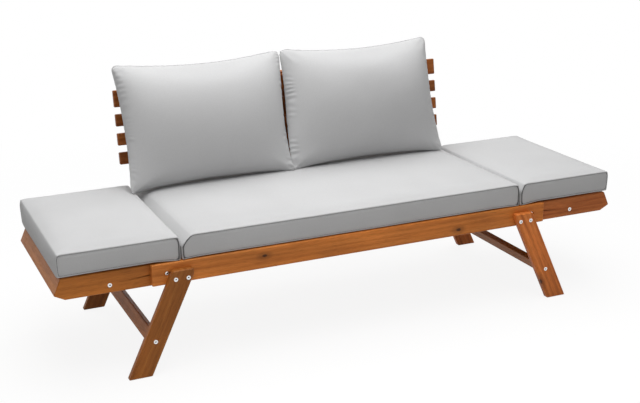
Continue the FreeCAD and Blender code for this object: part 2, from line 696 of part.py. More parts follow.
def outline(corners, bows, place):
    """A closed wire: short straight edges round each corner, a shallow arc along each side."""
    edges = []
    for k, points in enumerate(corners):
        for first, last in zip(points, points[1:]):
            edges.append(Part.LineSegment(place(*first), place(*last)).toShape())
        start = points[-1]
        end = corners[(k + 1) % 4][0]
        middle = ((start[0] + end[0]) / 2 + bows[k][0], (start[1] + end[1]) / 2 + bows[k][1])
        edges.append(Part.Arc(place(*start), place(*middle), place(*end)).toShape())
    return Part.Wire(edges)


def joint_slope(u, top, cut_back):
    """Four points of an end that is sewn to a ridge at half height, from the ridge up to the top."""
    ridge = 0.46 * top
    points = []
    for k in range(4):
        share = k / 3
        points.append((u - cut_back * share ** 1.5, ridge + (top - ridge) * share))
    return points


def box_cushion(half_u, deep, joint_at_right, rear_rise=0.0):
    """A boxed cushion along Y: the cover wraps over the ends, flat panels close the front and rear.

    The left end always meets another cushion; the right one does so only on the seat.
    The seat slopes away from its ridge and lies flat on the rail; a wing cushion is nearly
    square there and its long edges stay clear of the rails. A plumper one is higher at the rear."""
    thick_edge = num("cushion_thick")
    low_round = num("cushion_low_round")
    end_round = num("cushion_end_round")
    cut_back = num("seat_joint_cut") if joint_at_right else num("wing_joint_cut")
    clear = 0.0 if joint_at_right else 1.0
    stations = [(0.0, 2.0 + 4.0 * clear, 3.0), (5.0, 4.2 * clear, 0.5), (20.5, 3.9 * clear, 0.0)]
    stations += [(36.0, 0.0, 0.0), (0.3 * deep, 0.0, 0.0)]
    stations += [(deep - y, low, tuck) for y, low, tuck in reversed(stations)]
    wires = []
    for y, low, tuck in stations:
        along = 2 * y / deep - 1
        swell = 1 - along * along
        u = half_u - tuck - num("cushion_draw") * swell
        top = thick_edge - tuck + 0.35 * num("cushion_crown") * swell + rear_rise * y / deep
        bow = max(0.4, 0.65 * num("cushion_crown") * swell)
        slope = joint_slope(u, top, cut_back)
        right_top = corner_points(u - end_round, top - end_round, end_round, 0)
        if joint_at_right:
            right_top = slope
        corners = [right_top,
                   [(-a, c) for a, c in reversed(slope)],
                   corner_points(-u + low_round, low + low_round, low_round, 180),
                   corner_points(u - low_round, low + low_round, low_round, 270)]
        bows = [(0, bow), (-0.8, 0), (0, 0.2), (0.8, 0)]
        wires.append(outline(corners, bows, lambda a, c: V(a, y, c)))
    return Part.makeLoft(wires, True, True)


def pillow_seam(half_u, half_w, left_draw, right_draw):
    """The seam outline of a loose pillow: rounded corners, each side drawn in between them."""
    turn_in = num("pillow_corner")
    u = half_u - turn_in
    w = half_w - turn_in
    corners = [corner_points(u, w, turn_in, 0), corner_points(-u, w, turn_in, 90),
               corner_points(-u, -w, turn_in, 180), corner_points(u, -w, turn_in, 270)]
    pulls = [(0, -num("pillow_draw_top")), (left_draw, 0), (0, num("pillow_draw_low")), (-right_draw, 0)]
    side_parts = 6
    points = []
    for k, corner in enumerate(corners):
        points.extend(corner)
        start = corner[-1]
        end = corners[(k + 1) % 4][0]
        for part in range(1, side_parts):
            share = part / side_parts
            sag = 4 * share * (1 - share)
            points.append((start[0] + (end[0] - start[0]) * share + pulls[k][0] * sag,
                           start[1] + (end[1] - start[1]) * share + pulls[k][1] * sag))
    return points


def flat_face(points):
    """A flat face through points that lie in one plane."""
    return Part.Face(Part.makePolygon(points + points[:1]))


def front_fullness(t):
    """How far the front of a pillow stands out, from the lower seam (-1) to the upper one (1)."""
    return (1 - t) ** 0.5 * (1 + t) ** 1.087 / 1.1176


def rear_fullness(t):
    """The same for the rear, which is pressed flatter by the slats."""
    return (1 - t * t) ** 0.75


def side_fullness(t):
    """The same from side to side: an even swell that ends in rounded sides."""
    return (1 - abs(t) ** 3.6) ** 0.62


def reach(fullness, level, peak, end):
    """Where a profile has fallen to a level on the way from its peak to an end, found by halving."""
    for _ in range(40):
        middle = (peak + end) / 2
        if fullness(middle) > level:
            peak = middle
        else:
            end = middle
    return peak


def pillow(half_u, half_w, lean, left_draw, right_draw):
    """A loose pillow: the seam outline, and smaller copies of it stacked towards both faces.

    The copies follow the lean, so that each lies level with the seam."""
    seam = pillow_seam(half_u, half_w, left_draw, right_draw)
    sides = [(-num("pillow_swell_rear"), rear_fullness, 0.0),
             (num("pillow_swell_front"), front_fullness, 0.37)]
    stacks = []
    for swell, fullness, peak in sides:
        stack = []
        for level in (0.25, 0.5, 0.72, 0.88, 0.97):
            low = reach(fullness, level, peak, -1.0)
            high = reach(fullness, level, peak, 1.0)
            wide = reach(side_fullness, level, 0.0, 1.0)
            out = swell * level
            shift = (low + high) / 2 * half_w - out * math.tan(math.radians(lean))
            stack.append([V(wide * u, (high - low) / 2 * w + shift, out) for u, w in seam])
        stacks.append(stack)
    rings = stacks[0][::-1] + [[V(u, w, 0) for u, w in seam]] + stacks[1]
    faces = [flat_face(rings[0]), flat_face(rings[-1])]
    for low, high in zip(rings, rings[1:]):
        for k in range(len(seam)):
            after = (k + 1) % len(seam)
            faces.append(flat_face([low[k], low[after], high[after]]))
            faces.append(flat_face([low[k], high[after], high[k]]))
    return Part.Solid(Part.Shell(faces))


# Seat and wing cushions, lying on the rails
seat_deep = num("seat_cushion_rear") - num("cushion_front")
seat_shape = box_cushion(num("seat_cushion_half"), seat_deep, True)
seat_shape.translate(V(0, num("cushion_front"), num("rail_top") + 0.5))
solid_piece("seat_cushion", seat_shape)
wing_long = num("wing_cushion_end") - num("wing_cushion_start")
wing_deep = num("wing_cushion_rear") - num("cushion_front")
wing_shape = box_cushion(wing_long / 2, wing_deep, False)
wing_middle = num("wing_cushion_start") + wing_long / 2
wing_shape.translate(V(wing_middle, num("cushion_front"), num("rail_top") - 0.5))
solid_piece("right_wing_cushion", wing_shape)
left_long = num("left_wing_cushion_end") - num("wing_cushion_start")
left_shape = box_cushion(left_long / 2, wing_deep, False, num("left_wing_cushion_rise"))
left_middle = num("wing_cushion_start") + left_long / 2
left_shape.translate(V(left_middle, num("cushion_front"), num("rail_top") - 0.5))
solid_piece("left_wing_cushion", flip(left_shape, True, False))

# Back cushions, standing on the seat and leaning on the slats
outer = num("pillow_draw_outer")
inner = num("pillow_draw_inner")
for side, draws in (("left", (outer, inner)), ("right", (inner, outer))):
    half_high = num(side + "_pillow_high") / 2
    start = num(side + "_pillow_start")
    end = num(side + "_pillow_end")
    lean = num(side + "_pillow_lean")
    shape = pillow((end - start) / 2, half_high, lean, *draws)
    shape.rotate(V(0, 0, 0), V(1, 0, 0), 90 - lean)
    middle_y = num(side + "_pillow_foot") + half_high * math.sin(math.radians(lean))
    middle_z = num("pillow_low") + half_high * math.cos(math.radians(lean))
    shape.translate(V((start + end) / 2, middle_y, middle_z))
    solid_piece("back_cushion_" + side, shape)

# Every object must be sound before anything is written
doc.recompute()
for thing in doc.Objects:
    if "Invalid" in thing.State or "Error" in thing.State:
        raise ValueError("unsound object: " + thing.Label)
os.makedirs("parts", exist_ok=True)
for thing in pieces:
    if thing.Shape.isNull() or not thing.Shape.isValid():
        raise ValueError("unsound shape: " + thing.Label)
    if thing.Shape.Volume <= 0:
        raise ValueError("empty shape: " + thing.Label)
    thing.Shape.exportStep("parts/%s.step" % thing.Label)
box = pieces[0].Shape.BoundBox
for thing in pieces:
    box.add(thing.Shape.BoundBox)
print("pieces", len(pieces))
print("size", round(box.XLength, 1), round(box.YLength, 1), round(box.ZLength, 1))
print("from", round(box.XMin, 1), round(box.YMin, 1), round(box.ZMin, 1))
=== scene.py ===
# %% [markdown]
# A garden sofa that turns into a daybed. Oiled hardwood boards make the frame, two side
# wings hinge up as arm rests, three boxed cushions lie on the slats and two loose pillows
# lean on the back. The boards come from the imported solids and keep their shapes; this lesson
# gives them finishes, and makes the soft pieces and the fine hardware on top of them.

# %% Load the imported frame
import math

import bmesh
import bpy
from mathutils import Matrix, Vector, noise
from mathutils.bvhtree import BVHTree


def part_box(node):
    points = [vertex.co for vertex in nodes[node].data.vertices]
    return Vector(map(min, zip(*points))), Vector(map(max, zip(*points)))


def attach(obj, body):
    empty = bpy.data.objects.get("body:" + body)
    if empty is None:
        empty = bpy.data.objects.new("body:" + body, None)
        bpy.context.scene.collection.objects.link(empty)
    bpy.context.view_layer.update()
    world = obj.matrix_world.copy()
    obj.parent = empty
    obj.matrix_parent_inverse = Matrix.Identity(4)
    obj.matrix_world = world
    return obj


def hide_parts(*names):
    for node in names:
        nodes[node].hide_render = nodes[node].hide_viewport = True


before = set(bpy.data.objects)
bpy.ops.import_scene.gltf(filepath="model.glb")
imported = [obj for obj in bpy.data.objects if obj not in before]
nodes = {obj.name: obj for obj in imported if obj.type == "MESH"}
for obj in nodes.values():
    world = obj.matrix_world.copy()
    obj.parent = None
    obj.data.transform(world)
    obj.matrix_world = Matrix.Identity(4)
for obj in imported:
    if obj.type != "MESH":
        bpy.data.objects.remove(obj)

scene = bpy.context.scene
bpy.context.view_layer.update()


def rounded(values):
    """Lengths rounded to a millimetre, for printing."""
    return [round(v, 3) for v in values]


# %% [markdown]
# The camera stands before the left end of the sofa, at about the height of a standing
# person's eyes. Its place came from matching edges of known direction in the photograph. A
# camera can be turned with angles, but three plain direction vectors in a matrix are easier
# to check.

# %% Camera
PHOTO_WIDE = 640
PHOTO_HIGH = 403
FOCAL_PIXELS = 1118.0
AXIS_PIXEL = (288.2, 210.7)
SENSOR_WIDE = 36
EYE = Vector((-1.46196, -3.21235, 1.48056))
YAW = 0.398
PITCH = -0.320
ROLL = -0.017

level_ahead = Vector((math.sin(YAW), math.cos(YAW), 0))
level_right = Vector((math.cos(YAW), -math.sin(YAW), 0))
straight_up = Vector((0, 0, 1))
ahead = level_ahead * math.cos(PITCH) + straight_up * math.sin(PITCH)
above = straight_up * math.cos(PITCH) - level_ahead * math.sin(PITCH)
right = level_right * math.cos(ROLL) + above * math.sin(ROLL)
above = above * math.cos(ROLL) - level_right * math.sin(ROLL)

lens = bpy.data.cameras.new("photo_camera")
lens.sensor_width = SENSOR_WIDE
lens.lens = FOCAL_PIXELS * SENSOR_WIDE / PHOTO_WIDE
lens.shift_x = (PHOTO_WIDE / 2 - AXIS_PIXEL[0]) / PHOTO_WIDE
lens.shift_y = (AXIS_PIXEL[1] - PHOTO_HIGH / 2) / PHOTO_WIDE
camera = bpy.data.objects.new("photo_camera", lens)
camera.matrix_world = Matrix.Translation(EYE) @ Matrix((right, above, -ahead)).transposed().to_4x4()
scene.collection.objects.link(camera)
scene.camera = camera
print("lens", round(lens.lens, 2), "mm, shift", round(lens.shift_x, 4), round(lens.shift_y, 4))

# %% [markdown]
# Materials are small networks of nodes. A few helpers keep them readable: one adds a node and
# sets its values by name, and the others build the small steps that come back in every
# finish, which are a sum, a change of range and a colour ramp.

# %% Node helpers
def add(tree, kind, **values):
    """Adds a node; each named value goes to an input of that name, or else to a property."""
    made = tree.nodes.new("ShaderNode" + kind)
    for name, value in values.items():
        label = name.replace("_", " ")
        if label in made.inputs:
            made.inputs[label].default_value = value
        else:
            setattr(made, name, value)
    return made


def math_node(tree, operation, first, second=None):
    """A Math node whose two inputs are sockets or plain numbers."""
    made = add(tree, "Math", operation=operation)
    for slot, value in zip(made.inputs, (first, second)):
        if value is None:
            continue
        if isinstance(value, (int, float)):
            slot.default_value = value
        else:
            tree.links.new(value, slot)
    return made.outputs[0]


def remap(tree, value, span, result, course="LINEAR"):
    """Carries a value from one span to another and holds it at both ends."""
    made = add(tree, "MapRange", interpolation_type=course, From_Min=span[0], From_Max=span[1],
               To_Min=result[0], To_Max=result[1])
    tree.links.new(value, made.inputs["Value"])
    return made.outputs[0]


def ramp(tree, factor, stops):
    """A colour ramp through (position, colour) stops, fed by a socket."""
    made = add(tree, "ValToRGB")
    bands = made.color_ramp.elements
    while len(bands) < len(stops):
        bands.new(0.5)
    for band, (place, colour) in zip(bands, stops):
        band.position = place
        band.color = (*colour, 1)
    tree.links.new(factor, made.inputs[0])
    return made.outputs[0]


print("node helpers ready")

# %% [markdown]
# Grain, knots and weave are each used by more than one finish. Such an effect could be copied
# into every material, but as a node group it is built once and takes other values in each.
# The shader stays in the material itself, where an export can read it.

# %% Starting a group or a material
def start_group(name, inputs, outputs):
    """An empty shader group with its named sockets."""
    group = bpy.data.node_groups.new(name, "ShaderNodeTree")
    for label, kind in inputs:
        group.interface.new_socket(label, in_out="INPUT", socket_type="NodeSocket" + kind)
    for label, kind in outputs:
        group.interface.new_socket(label, in_out="OUTPUT", socket_type="NodeSocket" + kind)
    given = group.nodes.new("NodeGroupInput").outputs
    out = group.nodes.new("NodeGroupOutput").inputs
    return group, given, out


def start_material(name):
    """A new material with an empty tree, its shader and its output."""
    material = bpy.data.materials.new(name)
    material.use_nodes = True
    tree = material.node_tree
    tree.nodes.clear()
    shader = add(tree, "BsdfPrincipled")
    output = add(tree, "OutputMaterial")
    tree.links.new(shader.outputs[0], output.inputs[0])
    return material, tree, shader


print("groups and materials can be started")

# %% [markdown]
# The photograph was taken on a white sweep. The floor could be lit until it clips, but that
# would bleach the sofa too. So it shows white to the camera by itself, and near the sofa it
# keeps part of its real shading, which leaves a soft shadow. For all other light it is a pale
# grey that lights the fronts from below.

# %% Floor
FLOOR_HALF = 14
FLOOR_LEVEL = -0.0006
FLOOR_GREY = (0.62, 0.615, 0.605, 1)
SHADOW_REACH = (1.0, 2.6)
SHADOW_SHARE = (0.11, 0.0)


def seen_directly(tree):
    """1 for what the camera sees, also in a reflection or through glass, and 0 for other light."""
    path = add(tree, "LightPath")
    first = math_node(tree, "MAXIMUM", path.outputs["Is Camera Ray"], path.outputs["Is Glossy Ray"])
    return math_node(tree, "MAXIMUM", first, path.outputs["Is Transmission Ray"])


def mix_shaders(tree, factor, first, second):
    """Goes from one shader to another as the factor goes from 0 to 1."""
    made = add(tree, "MixShader")
    for slot, value in zip(made.inputs, (factor, first.outputs[0], second.outputs[0])):
        tree.links.new(value, slot)
    return made


def studio_floor():
    """A large plain floor whose material is mostly white to the camera."""
    mesh = bpy.data.meshes.new("studio_floor")
    ways = ((-1, -1), (1, -1), (1, 1), (-1, 1))
    mesh.from_pydata([(x * FLOOR_HALF, y * FLOOR_HALF, FLOOR_LEVEL) for x, y in ways], [], [(0, 1, 2, 3)])
    floor = bpy.data.objects.new("studio_floor", mesh)
    scene.collection.objects.link(floor)
    material = bpy.data.materials.new("studio_floor")
    material.use_nodes = True
    tree = material.node_tree
    tree.nodes.clear()
    white = add(tree, "Emission", Color=(1, 1, 1, 1), Strength=1.0)
    pale = add(tree, "BsdfDiffuse", Color=(0.95, 0.95, 0.95, 1))
    grey = add(tree, "BsdfDiffuse", Color=FLOOR_GREY)
    place = add(tree, "TexCoord")
    far = add(tree, "VectorMath", operation="LENGTH")
    tree.links.new(place.outputs["Object"], far.inputs[0])
    shaded = remap(tree, far.outputs["Value"], SHADOW_REACH, SHADOW_SHARE, "SMOOTHSTEP")
    shown = mix_shaders(tree, shaded, white, pale)
    whole = mix_shaders(tree, seen_directly(tree), grey, shown)
    output = add(tree, "OutputMaterial")
    tree.links.new(whole.outputs[0], output.inputs[0])
    mesh.materials.append(material)
    return floor


studio_floor()
print("floor", 2 * FLOOR_HALF, "m each way")

# %% [markdown]
# In the photograph a large soft light comes from above: tops are bright and fronts darker.
# Small lamps would throw hard shadows, so one wide lamp hangs overhead and a weak one stands
# in front. An even ambient light fills the rest, while the camera sees a white background.

# %% Lamps and ambient light
AMBIENT = 0.19


def soft_lamp(name, place, target, wide, deep, watts):
    """A rectangular lamp that looks at a target point."""
    data = bpy.data.lights.new(name, "AREA")
    data.shape = "RECTANGLE"
    data.size = wide
    data.size_y = deep
    data.energy = watts
    lamp = bpy.data.objects.new(name, data)
    lamp.location = place
    lamp.rotation_euler = (Vector(target) - Vector(place)).to_track_quat("-Z", "Y").to_euler()
    scene.collection.objects.link(lamp)


soft_lamp("lamp_above", (-0.1, 0.0, 3.0), (0.0, -0.05, 0.3), wide=4.4, deep=2.8, watts=135)
soft_lamp("lamp_front", (-1.6, -3.6, 1.5), (0.0, 0.0, 0.4), wide=2.6, deep=1.6, watts=6)

world = bpy.data.worlds.new("studio")
world.use_nodes = True
scene.world = world
sky = world.node_tree
sky.nodes.clear()
background = add(sky, "Background", Color=(1, 1, 1, 1), Strength=1.0)
ambient = add(sky, "Background", Color=(1, 1, 1, 1), Strength=AMBIENT)
mixed_sky = mix_shaders(sky, seen_directly(sky), ambient, background)
sky_output = add(sky, "OutputWorld")
sky.links.new(mixed_sky.outputs[0], sky_output.inputs[0])
scene.view_settings.view_transform = "Standard"
print("two lamps, ambient light", AMBIENT)

# %% [markdown]
# Oiled acacia has warm bands along the board, fine dark pores and a knot here and there. A
# photo of wood would repeat and needs unwrapping, so the grain is worked out in space: noise
# stretched along the grain. Every board has its own offset, as if cut from another plank.

# %% Wood grain group
PLANK_SPREAD = 23.0
PLANK_STEPS = (3.7, 11.3, 7.9)
BAND_SHARE = 0.86
RING_SHARE = 0.14


def build_grain():
    """Bands, pores and soft patches of a plank whose length lies along X."""
    group, given, out = start_group(
        "plank_grain",
        [("Position", "Vector"), ("Plank", "Float")],
        [("Bands", "Float"), ("Pores", "Float"), ("Patches", "Float")])
    shift = add(group, "CombineXYZ")
    for axis, step in enumerate(PLANK_STEPS):
        group.links.new(math_node(group, "MULTIPLY", given["Plank"], step), shift.inputs[axis])
    moved = add(group, "VectorMath", operation="ADD")
    group.links.new(given["Position"], moved.inputs[0])
    group.links.new(shift.outputs[0], moved.inputs[1])

    def stretched(along, across):
        scaled = add(group, "VectorMath", operation="MULTIPLY")
        scaled.inputs[1].default_value = (along, across, across)
        group.links.new(moved.outputs[0], scaled.inputs[0])
        return scaled.outputs[0]

    bands = add(group, "TexNoise", Scale=1.0, Detail=5.0, Roughness=0.62, Distortion=0.7)
    group.links.new(stretched(along=2.2, across=46), bands.inputs["Vector"])
    rings = add(group, "TexWave", wave_type="BANDS", bands_direction="Z", Scale=1.0, Distortion=5.0,
                Detail=3.0, Detail_Scale=0.8)
    group.links.new(stretched(along=1.1, across=17), rings.inputs["Vector"])
    both = math_node(group, "ADD", math_node(group, "MULTIPLY", bands.outputs[0], BAND_SHARE),
                     math_node(group, "MULTIPLY", rings.outputs["Fac"], RING_SHARE))
    group.links.new(both, out["Bands"])
    pores = add(group, "TexNoise", Scale=1.0, Detail=3.0, Roughness=0.55)
    group.links.new(stretched(along=38, across=620), pores.inputs["Vector"])
    group.links.new(pores.outputs[0], out["Pores"])
    patches = add(group, "TexNoise", Scale=1.0, Detail=2.0)
    group.links.new(stretched(along=5, across=14), patches.inputs["Vector"])
    group.links.new(patches.outputs[0], out["Patches"])
    return group


plank_grain = build_grain()
print("group", plank_grain.name, [s.name for s in plank_grain.interface.items_tree])

# %% [markdown]
# A knot is where a branch left the trunk: a very dark core in a halo of darker wood. It
# could be painted, but a group that measures how near a point is to the knot, drawn out along
# the grain, works on any board. It puts out a mask for the core and one for the halo.

# %% Knot group
KNOT_DRAWN = (0.55, 0.8, 1.0)
KNOT_ROUGH = 0.5
CORE_SPAN = (0.7, 1.25)
HALO_SPAN = (1.1, 3.4)


def build_knot():
    """Masks of one knot at a place on the board."""
    group, given, out = start_group(
        "plank_knot",
        [("Position", "Vector"), ("Centre", "Vector"), ("Radius", "Float")],
        [("Core", "Float"), ("Halo", "Float")])
    offset = add(group, "VectorMath", operation="SUBTRACT")
    group.links.new(given["Position"], offset.inputs[0])
    group.links.new(given["Centre"], offset.inputs[1])
    drawn = add(group, "VectorMath", operation="MULTIPLY")
    drawn.inputs[1].default_value = KNOT_DRAWN
    group.links.new(offset.outputs[0], drawn.inputs[0])
    rough = add(group, "TexNoise", Scale=160.0, Detail=2.0)
    group.links.new(given["Position"], rough.inputs["Vector"])
    far = add(group, "VectorMath", operation="LENGTH")
    group.links.new(drawn.outputs[0], far.inputs[0])
    reach = math_node(group, "DIVIDE", far.outputs["Value"], given["Radius"])
    reach = math_node(group, "ADD", reach, math_node(group, "MULTIPLY", rough.outputs[0], KNOT_ROUGH))
    for label, span in (("Core", CORE_SPAN), ("Halo", HALO_SPAN)):
        group.links.new(remap(group, reach, span, (1.0, 0.0), "SMOOTHSTEP"), out[label])
    return group


plank_knot = build_knot()
print("group", plank_knot.name, [s.name for s in plank_knot.interface.items_tree])

# %% [markdown]
# One function makes the finish for a family of boards: which way the grain runs, how deep and
# how red the colour is, how strong the streaks are and where knots sit. Oil leaves a low satin
# gloss, a little duller in the pores, and the pores are felt as a fine relief.

# %% Oiled wood finish
ALONG_X = Vector((1, 0, 0))
WOOD_WARM = (0.56, 0.182, 0.030)
WOOD_DARKER = (0.29, 0.110, 0.019)
WOOD_PALER = (0.18, 0.108, 0.032)
BOARD_TONE = (0.86, 1.12)
PATCH_TONE = (0.80, 1.18)
PORE_TONE = (0.78, 1.0)
KNOT_SHADE = (("Core", 0.8), ("Halo", 0.35))
OIL_GLOSS = (0.56, 0.40)


def oiled_wood(name, grain, depth, red, streak, knots=()):
    """A finish for boards whose grain runs along the given direction."""
    material, tree, shader = start_material(name)
    turned = grain.rotation_difference(ALONG_X)
    place = add(tree, "TexCoord")
    turn = add(tree, "Mapping", vector_type="POINT", Rotation=turned.to_euler())
    tree.links.new(place.outputs["Object"], turn.inputs["Vector"])
    board = add(tree, "ObjectInfo")
    plank = add(tree, "Group", node_tree=plank_grain)
    tree.links.new(turn.outputs[0], plank.inputs["Position"])
    number = math_node(tree, "MULTIPLY", board.outputs["Random"], PLANK_SPREAD)
    tree.links.new(number, plank.inputs["Plank"])

    tints = (WOOD_WARM, WOOD_DARKER, WOOD_PALER)
    warm, darker, paler = [Vector((r, g / red, b)) * depth for r, g, b in tints]
    stops = [(0.25, warm - darker * streak), (0.5, warm), (0.75, warm + paler * streak)]
    colour = ramp(tree, plank.outputs["Bands"], stops)
    tone = remap(tree, board.outputs["Random"], (0.0, 1.0), BOARD_TONE)
    patch = remap(tree, plank.outputs["Patches"], (0.3, 0.7), PATCH_TONE)
    fleck = remap(tree, plank.outputs["Pores"], (0.34, 0.5), PORE_TONE)
    shade = math_node(tree, "MULTIPLY", math_node(tree, "MULTIPLY", tone, patch), fleck)
    for centre, radius in knots:
        knot = add(tree, "Group", node_tree=plank_knot, Centre=turned @ Vector(centre), Radius=radius)
        tree.links.new(turn.outputs[0], knot.inputs["Position"])
        taken = [math_node(tree, "MULTIPLY", knot.outputs[mask], share) for mask, share in KNOT_SHADE]
        core, halo = [math_node(tree, "SUBTRACT", 1.0, part) for part in taken]
        shade = math_node(tree, "MULTIPLY", shade, math_node(tree, "MULTIPLY", core, halo))
    tinted = add(tree, "VectorMath", operation="SCALE")
    tree.links.new(colour, tinted.inputs[0])
    tree.links.new(shade, tinted.inputs["Scale"])
    tree.links.new(tinted.outputs[0], shader.inputs["Base Color"])

    gloss = remap(tree, plank.outputs["Pores"], (0.3, 0.7), OIL_GLOSS)
    tree.links.new(gloss, shader.inputs["Roughness"])
    relief = math_node(tree, "ADD", math_node(tree, "MULTIPLY", fleck, 0.7),
                       math_node(tree, "MULTIPLY", plank.outputs["Bands"], 0.5))
    bump = add(tree, "Bump", Strength=0.28, Distance=0.0006)
    tree.links.new(relief, bump.inputs["Height"])
    tree.links.new(bump.outputs[0], shader.inputs["Normal"])
    shader.inputs["IOR"].default_value = 1.46
    shader.inputs["Specular IOR Level"].default_value = 0.25
    return material


print("oiled wood can be mixed")

# %% [markdown]
# Boards of one sofa come from many planks, and in the photograph the rails are light and
# orange, the left legs and the back dark. One finish for all would look like plastic, so the
# boards are sorted into families by grain direction and colour. Legs and posts lean, and
# their grain leans with them. Three knots sit where the photograph shows knots.

# %% Families of boards
ALONG_Y = Vector((0, 1, 0))
SPLAY = math.radians(25.2)
LEAN = math.radians(8.92)
RIGHT_LEG = Vector((-math.sin(SPLAY), 0, math.cos(SPLAY)))
LEFT_LEG = Vector((math.sin(SPLAY), 0, math.cos(SPLAY)))
POST = Vector((0, math.sin(LEAN), math.cos(LEAN)))
FRONT_KNOTS = [((-0.323, -0.3165, 0.310), 0.006), ((0.345, -0.3165, 0.290), 0.0065)]
LEG_KNOTS = [((0.660, -0.3365, 0.063), 0.008)]
ACROSS = ["leg_stretcher_left", "leg_stretcher_right", "left_wing_end_board", "right_wing_end_board",
          "left_wing_cross_rail", "right_wing_cross_rail", "left_wing_slats", "right_wing_slats"]
ACROSS += ["seat_slat_%02d" % k for k in range(1, 11)]

# Each finish: its boards, then grain, depth, red, streak and knots
wood_families = {
    "wood_rail_front": (["front_rail"], ALONG_X, 1.17, 1.05, 0.6, FRONT_KNOTS),
    "wood_rail": (["rear_rail", "seat_ledger_front", "seat_ledger_rear"], ALONG_X, 0.9, 1.0, 0.5),
    "wood_wing_left": (["left_wing_rail_front", "left_wing_rail_rear"], ALONG_X, 0.88, 1.0, 0.3),
    "wood_wing_right": (["right_wing_rail_front", "right_wing_rail_rear"], ALONG_X, 0.74, 1.22, 1.0),
    "wood_back": (["back_slat_low", "back_slat_lower_mid", "back_slat_upper_mid", "back_slat_top"],
                  ALONG_X, 0.5, 1.15, 0.8),
    "wood_across": (ACROSS, ALONG_Y, 0.75, 1.0, 0.5),
    "wood_leg_left": (["leg_front_left", "leg_rear_left"], LEFT_LEG, 0.58, 1.0, 0.6),
    "wood_leg_right": (["leg_front_right", "leg_rear_right"], RIGHT_LEG, 1.14, 1.16, 0.9, LEG_KNOTS),
    "wood_post": (["back_post_left", "back_post_centre", "back_post_right"], POST, 0.5, 1.15, 0.8),
}
print("wood finishes", len(wood_families))

# %% [markdown]
# A sanded board has no knife edge: its eased edges catch a thin line of light. The packed
# boards keep their meshes, and a bevel modifier rounds the edges a little more for the eye.

# %% Finishing the boards
EDGE_ROUND = 0.0008
SAME_POINT = 0.00001
EDGE_ANGLE = math.radians(28)


def dress(node, material):
    """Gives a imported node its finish."""
    for place in nodes[node].material_slots:
        place.material = material


def soften_edges(node):
    """Rounds a board's eased edges a little more, so that they catch the light."""
    weld = nodes[node].modifiers.new("joined_faces", "WELD")
    weld.merge_threshold = SAME_POINT
    bevel = nodes[node].modifiers.new("soft_edges", "BEVEL")
    bevel.width = EDGE_ROUND
    bevel.segments = 2
    bevel.limit_method = "ANGLE"
    bevel.angle_limit = EDGE_ANGLE


for name, (boards, *look) in wood_families.items():
    finish = oiled_wood(name, *look)
    for board in boards:
        dress(board, finish)
        soften_edges(board)
    print(name, len(boards), "boards")

# %% [markdown]
# Zinc plated bolts, nuts and ratchet plates look bright but not mirror like: fine scratches
# run over them and the plating is a little cloudy. A plain metal colour would look like
# chrome. The sliding washers are natural nylon, milky and dull.

# %% Metal and nylon
SCRATCH_DRAWN = (300, 300, 2400)


def plated_steel(name, level, dullness):
    """Plated steel with cloudy plating and fine scratches."""
    material, tree, shader = start_material(name)
    place = add(tree, "TexCoord")
    cloud = add(tree, "TexNoise", Scale=120.0, Detail=3.0)
    scratch = add(tree, "TexNoise", Scale=1.0, Detail=4.0, Roughness=0.7)
    drawn = add(tree, "VectorMath", operation="MULTIPLY")
    drawn.inputs[1].default_value = SCRATCH_DRAWN
    tree.links.new(place.outputs["Object"], cloud.inputs["Vector"])
    tree.links.new(place.outputs["Object"], drawn.inputs[0])
    tree.links.new(drawn.outputs[0], scratch.inputs["Vector"])
    colour = ramp(tree, cloud.outputs[0], [(0.3, (level * 0.86, level * 0.87, level * 0.89)),
                                           (0.7, (level, level, level * 0.99))])
    tree.links.new(colour, shader.inputs["Base Color"])
    rough = remap(tree, scratch.outputs[0], (0.3, 0.7), dullness)
    tree.links.new(rough, shader.inputs["Roughness"])
    bump = add(tree, "Bump", Strength=0.12, Distance=0.0002)
    tree.links.new(scratch.outputs[0], bump.inputs["Height"])
    tree.links.new(bump.outputs[0], shader.inputs["Normal"])
    shader.inputs["Metallic"].default_value = 1.0
    return material


def natural_nylon():
    """Milky nylon with a faint grain."""
    material, tree, shader = start_material("nylon_natural")
    place = add(tree, "TexCoord")
    grain = add(tree, "TexNoise", Scale=260.0, Detail=3.0)
    tree.links.new(place.outputs["Object"], grain.inputs["Vector"])
    colour = ramp(tree, grain.outputs[0], [(0.3, (0.66, 0.65, 0.60)), (0.7, (0.78, 0.77, 0.73))])
    tree.links.new(colour, shader.inputs["Base Color"])
    rough = remap(tree, grain.outputs[0], (0.0, 1.0), (0.42, 0.6))
    tree.links.new(rough, shader.inputs["Roughness"])
    return material


bolt_steel = plated_steel("steel_bolt", 0.82, (0.2, 0.36))
plate_steel = plated_steel("steel_plate", 0.62, (0.32, 0.5))
# Nearly black steel for the inside of the hex recess: painted shade
recess_shade_steel = plated_steel("steel_socket", 0.06, (0.5, 0.7))
nylon = natural_nylon()
for node in nodes:
    if node == "pivot_washers":
        dress(node, nylon)
    elif "ratchet" in node or node.endswith("_nuts"):
        dress(node, plate_steel)
print("metal finishes", bolt_steel.name, plate_steel.name, nylon.name)

# %% [markdown]
# The frame is held by socket bolts with low domed heads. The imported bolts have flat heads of
# few sides, so each one is made again where it stands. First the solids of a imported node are
# told apart: points that edges join belong to one bolt.

# %% Finding the bolts
def islands(node):
    """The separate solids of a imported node, as lists of points."""
    bm = bmesh.new()
    bm.from_mesh(nodes[node].data)
    bmesh.ops.remove_doubles(bm, verts=bm.verts, dist=SAME_POINT)
    reached = set()
    groups = []
    for start in bm.verts:
        if start in reached:
            continue
        reached.add(start)
        found = [start]
        for point in found:
            for edge in point.link_edges:
                other = edge.other_vert(point)
                if other not in reached:
                    reached.add(other)
                    found.append(other)
        groups.append([v.co.copy() for v in found])
    bm.free()
    return groups


